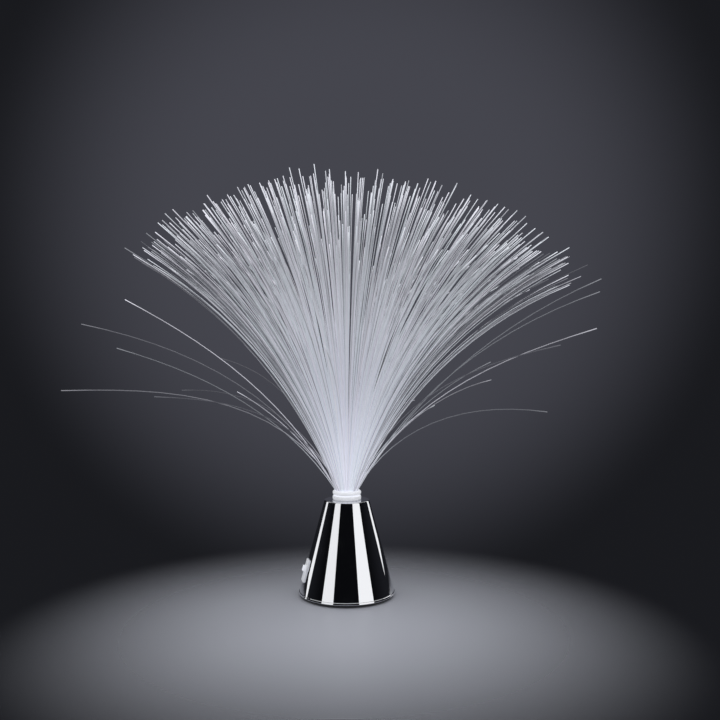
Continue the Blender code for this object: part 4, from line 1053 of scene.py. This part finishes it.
knob_low = (KNOB_ROOT, -KNOB_WIDTH / 2, SWITCH_TRAVEL / 2 - KNOB_HEIGHT / 2)
knob_high = (BEZEL_PROUD + KNOB_PROUD, KNOB_WIDTH / 2, SWITCH_TRAVEL / 2 + KNOB_HEIGHT / 2)
knob = finished("knob", block_mesh(knob_low, knob_high, KNOB_ROUND), knob_plastic, None)
grooves = bmesh.new()
for number in range(RIB_COUNT):
    z = knob_low[2] + KNOB_HEIGHT * (number + 1) / (RIB_COUNT + 1)
    groove_low = (knob_high[0] - RIB_DEPTH, -GROOVE_SIDE, z - GROOVE_HALF)
    groove = block_mesh(groove_low, (GROOVE_OUT, GROOVE_SIDE, z + GROOVE_HALF), 0)
    part = bpy.data.meshes.new("groove")
    groove.to_mesh(part)
    groove.free()
    grooves.from_mesh(part)
cut(knob, finished("grooves", grooves, knob_plastic, None, smooth=False))
for piece, body, node in ((bezel, "base", "switch_bezel"), (knob, "knob", "switch_knob")):
    piece.data.transform(switch_frame)
    piece.data.shade_smooth()
    piece.data.set_sharp_from_angle(angle=SHARP)
    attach(piece, body)
    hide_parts(node)
print("switch", len(bezel.data.polygons), "and", len(knob.data.polygons), "faces")

# %% [markdown]
# Everything under and inside the cone keeps its solid, because those shapes are right as they are.
# Each only gets its finish. Moulded black plastic has a fine spark-eroded grain that scatters light,
# and is slightly polished where hands and tables rub it.
# %% Black plastic and rubber
black_plastic = Finish("black_plastic", IOR=1.5)
grain = black_plastic.noise(2600.0, 3.0)
cloud = black_plastic.noise(70.0, 2.0)
black_plastic.set("Base Color", black_plastic.blend((0.012, 0.012, 0.014), (0.026, 0.026, 0.029), cloud))
black_plastic.set("Roughness", black_plastic.between(0.38, 0.58, grain))
black_plastic.bump(grain, 0.00005, 0.4)

rubber = Finish("black_rubber", IOR=1.52)
dust = rubber.step(rubber.noise(500.0, 4.0), 0.5, 0.8)
rubber.set("Base Color", rubber.blend((0.012, 0.012, 0.012), (0.055, 0.052, 0.050), dust))
rubber.set("Roughness", rubber.between(0.72, 0.92, dust))
rubber.bump(rubber.noise(3200.0, 2.0), 0.00004, 0.5)


def dress(nodes, finish):
    """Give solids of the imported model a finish."""
    for name in nodes:
        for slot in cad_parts[name].material_slots:
            slot.material = finish.material


dress(["bottom_cover", "battery_door", "switch_housing", "socket_lock_ring", "control_chip"], black_plastic)
dress([f"foot_pad_{number}" for number in range(1, 5)], rubber)
print("black plastic and rubber dressed")

# %% [markdown]
# The screws are zinc-plated steel, and the contacts and springs nickel-plated. Metal finishes differ
# less in colour than in how their shine breaks up: zinc is cloudy, and drawn wire has fine lines
# along it.
# %% Metals
zinc = Finish("zinc_steel", Metallic=1.0)
spangle = zinc.noise(900.0, 2.0)
zinc.set("Base Color", zinc.blend((0.52, 0.53, 0.55), (0.70, 0.70, 0.69), spangle))
zinc.set("Roughness", zinc.between(0.24, 0.46, spangle))
zinc.bump(zinc.noise(4000.0, 1.0), 0.00001, 0.3)

nickel = Finish("nickel", Metallic=1.0)
drawn = nickel.noise(2400.0, 2.0, (0.1, 1.0, 1.0))
nickel.set("Base Color", nickel.blend((0.62, 0.58, 0.50), (0.80, 0.77, 0.70), drawn))
nickel.set("Roughness", nickel.between(0.16, 0.34, drawn))
nickel.bump(drawn, 0.00001, 0.3)

screws = [f"cover_screw_{number}" for number in range(1, 5)]
screws += [f"board_screw_{number}" for number in range(1, 4)]
screws += ["switch_screw_1", "switch_screw_2"]
contacts = [f"contact_spring_{number}" for number in range(1, 4)]
contacts += [f"switch_terminal_{number}" for number in range(1, 4)]
contacts += ["contact_terminal_positive", "contact_terminal_negative"]
contacts += ["contact_link_left", "contact_link_right"]
dress(screws, zinc)
dress(contacts, nickel)
print(len(screws), "screws and", len(contacts), "contacts dressed")

# %% [markdown]
# A cell is a steel can in a printed plastic sleeve. The sleeve stops short of both ends, where the
# bare metal shows, and carries a copper-coloured band at its button end, so that one can see which
# way round it goes. The cells lie along X and alternate, so the band is on a different side in turn.
# %% Battery cells
# Shares of the way from the flat end to the button end
SLEEVE_START = 0.014
BAND_START = 0.735
BAND_FULL = 0.738
SLEEVE_END = 0.962


def cell_finish(name, flat_end, button_end):
    """The sleeve of a cell that lies along X, from its flat end to its button end."""
    made = Finish(name)
    share = (made.place("X") - flat_end) * (1 / (button_end - flat_end))
    bare = (share < SLEEVE_START) + (share > SLEEVE_END)
    band = made.step(share, BAND_START, BAND_FULL)
    scuff = made.step(made.noise(700.0, 4.0), 0.55, 0.75)
    sleeve = made.blend((0.030, 0.032, 0.038), (0.45, 0.20, 0.09), band)
    sleeve = made.blend(sleeve, (0.50, 0.50, 0.50), scuff * 0.12)
    made.set("Base Color", made.blend(sleeve, (0.72, 0.71, 0.68), bare))
    made.set("Metallic", made.between(0.25, 1.0, bare))
    made.set("Roughness", made.between(0.26, 0.42, scuff))
    return made


for number, forwards in ((1, True), (2, False), (3, True)):
    low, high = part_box(f"battery_cell_{number}")
    ends = (low.x, high.x) if forwards else (high.x, low.x)
    dress([f"battery_cell_{number}"], cell_finish(f"cell_wrap_{number}", *ends))
print("cells dressed")

# %% [markdown]
# The light board is green solder mask over copper tracks, which stand out a little in height and
# colour. The lenses of the three lights are tinted resin that glows from inside, and the wires have
# soft shiny sleeves.
# %% Board, lights and wires
LENS_GLOW_BOTTOM = 0.058
LENS_GLOW_TOP = 0.066

board = Finish("board_green", IOR=1.5)
tracks = board.node("ShaderNodeTexWave", {"Vector": board.place(), "Scale": 150.0, "Distortion": 2.0})
copper = board.step(tracks, 0.62, 0.70)
board.set("Base Color", board.blend((0.010, 0.085, 0.035), (0.030, 0.190, 0.080), copper))
board.set("Roughness", board.between(0.28, 0.42, board.noise(600.0)))
board.bump(copper, 0.00004, 0.5)
dress(["led_board"], board)

ceramic = Finish("resistor_body", IOR=1.6)
speckle = ceramic.noise(3000.0, 2.0)
ceramic.set("Base Color", ceramic.blend((0.22, 0.40, 0.56), (0.36, 0.56, 0.70), speckle))
ceramic.set("Roughness", ceramic.between(0.32, 0.50, speckle))
dress(["resistor"], ceramic)
dress(["light_cup"], white_plastic)


def lens_finish(name, colour):
    """Tinted clear resin with a light in it."""
    made = Finish(name, Roughness=0.08, IOR=1.5, Transmission_Weight=0.35, Emission_Strength=0.6)
    depth = made.noise(900.0, 1.0)
    pale = tuple(min(1.0, part * 0.6 + 0.4) for part in colour)
    made.set("Base Color", made.blend(colour, pale, depth * 0.4))
    upwards = made.step(made.place("Z"), LENS_GLOW_BOTTOM, LENS_GLOW_TOP)
    made.set("Emission Color", made.blend(colour, pale, upwards))
    return made


def sleeve_finish(name, colour):
    """Soft vinyl sleeve of a thin wire."""
    made = Finish(name, IOR=1.5)
    smudge = made.noise(500.0, 3.0)
    darker = tuple(part * 0.7 for part in colour)
    made.set("Base Color", made.blend(darker, colour, smudge))
    made.set("Roughness", made.between(0.34, 0.52, smudge))
    return made


dress(["led_red"], lens_finish("red_lens", (0.80, 0.06, 0.04)))
dress(["led_green"], lens_finish("green_lens", (0.06, 0.62, 0.12)))
dress(["led_blue"], lens_finish("blue_lens", (0.06, 0.18, 0.85)))
dress(["lead_positive"], sleeve_finish("red_wire", (0.60, 0.03, 0.03)))
dress(["lead_switched"], sleeve_finish("white_wire", (0.80, 0.80, 0.78)))
dress(["lead_negative"], sleeve_finish("black_wire", (0.025, 0.025, 0.028)))
print("board, lights and wires dressed")
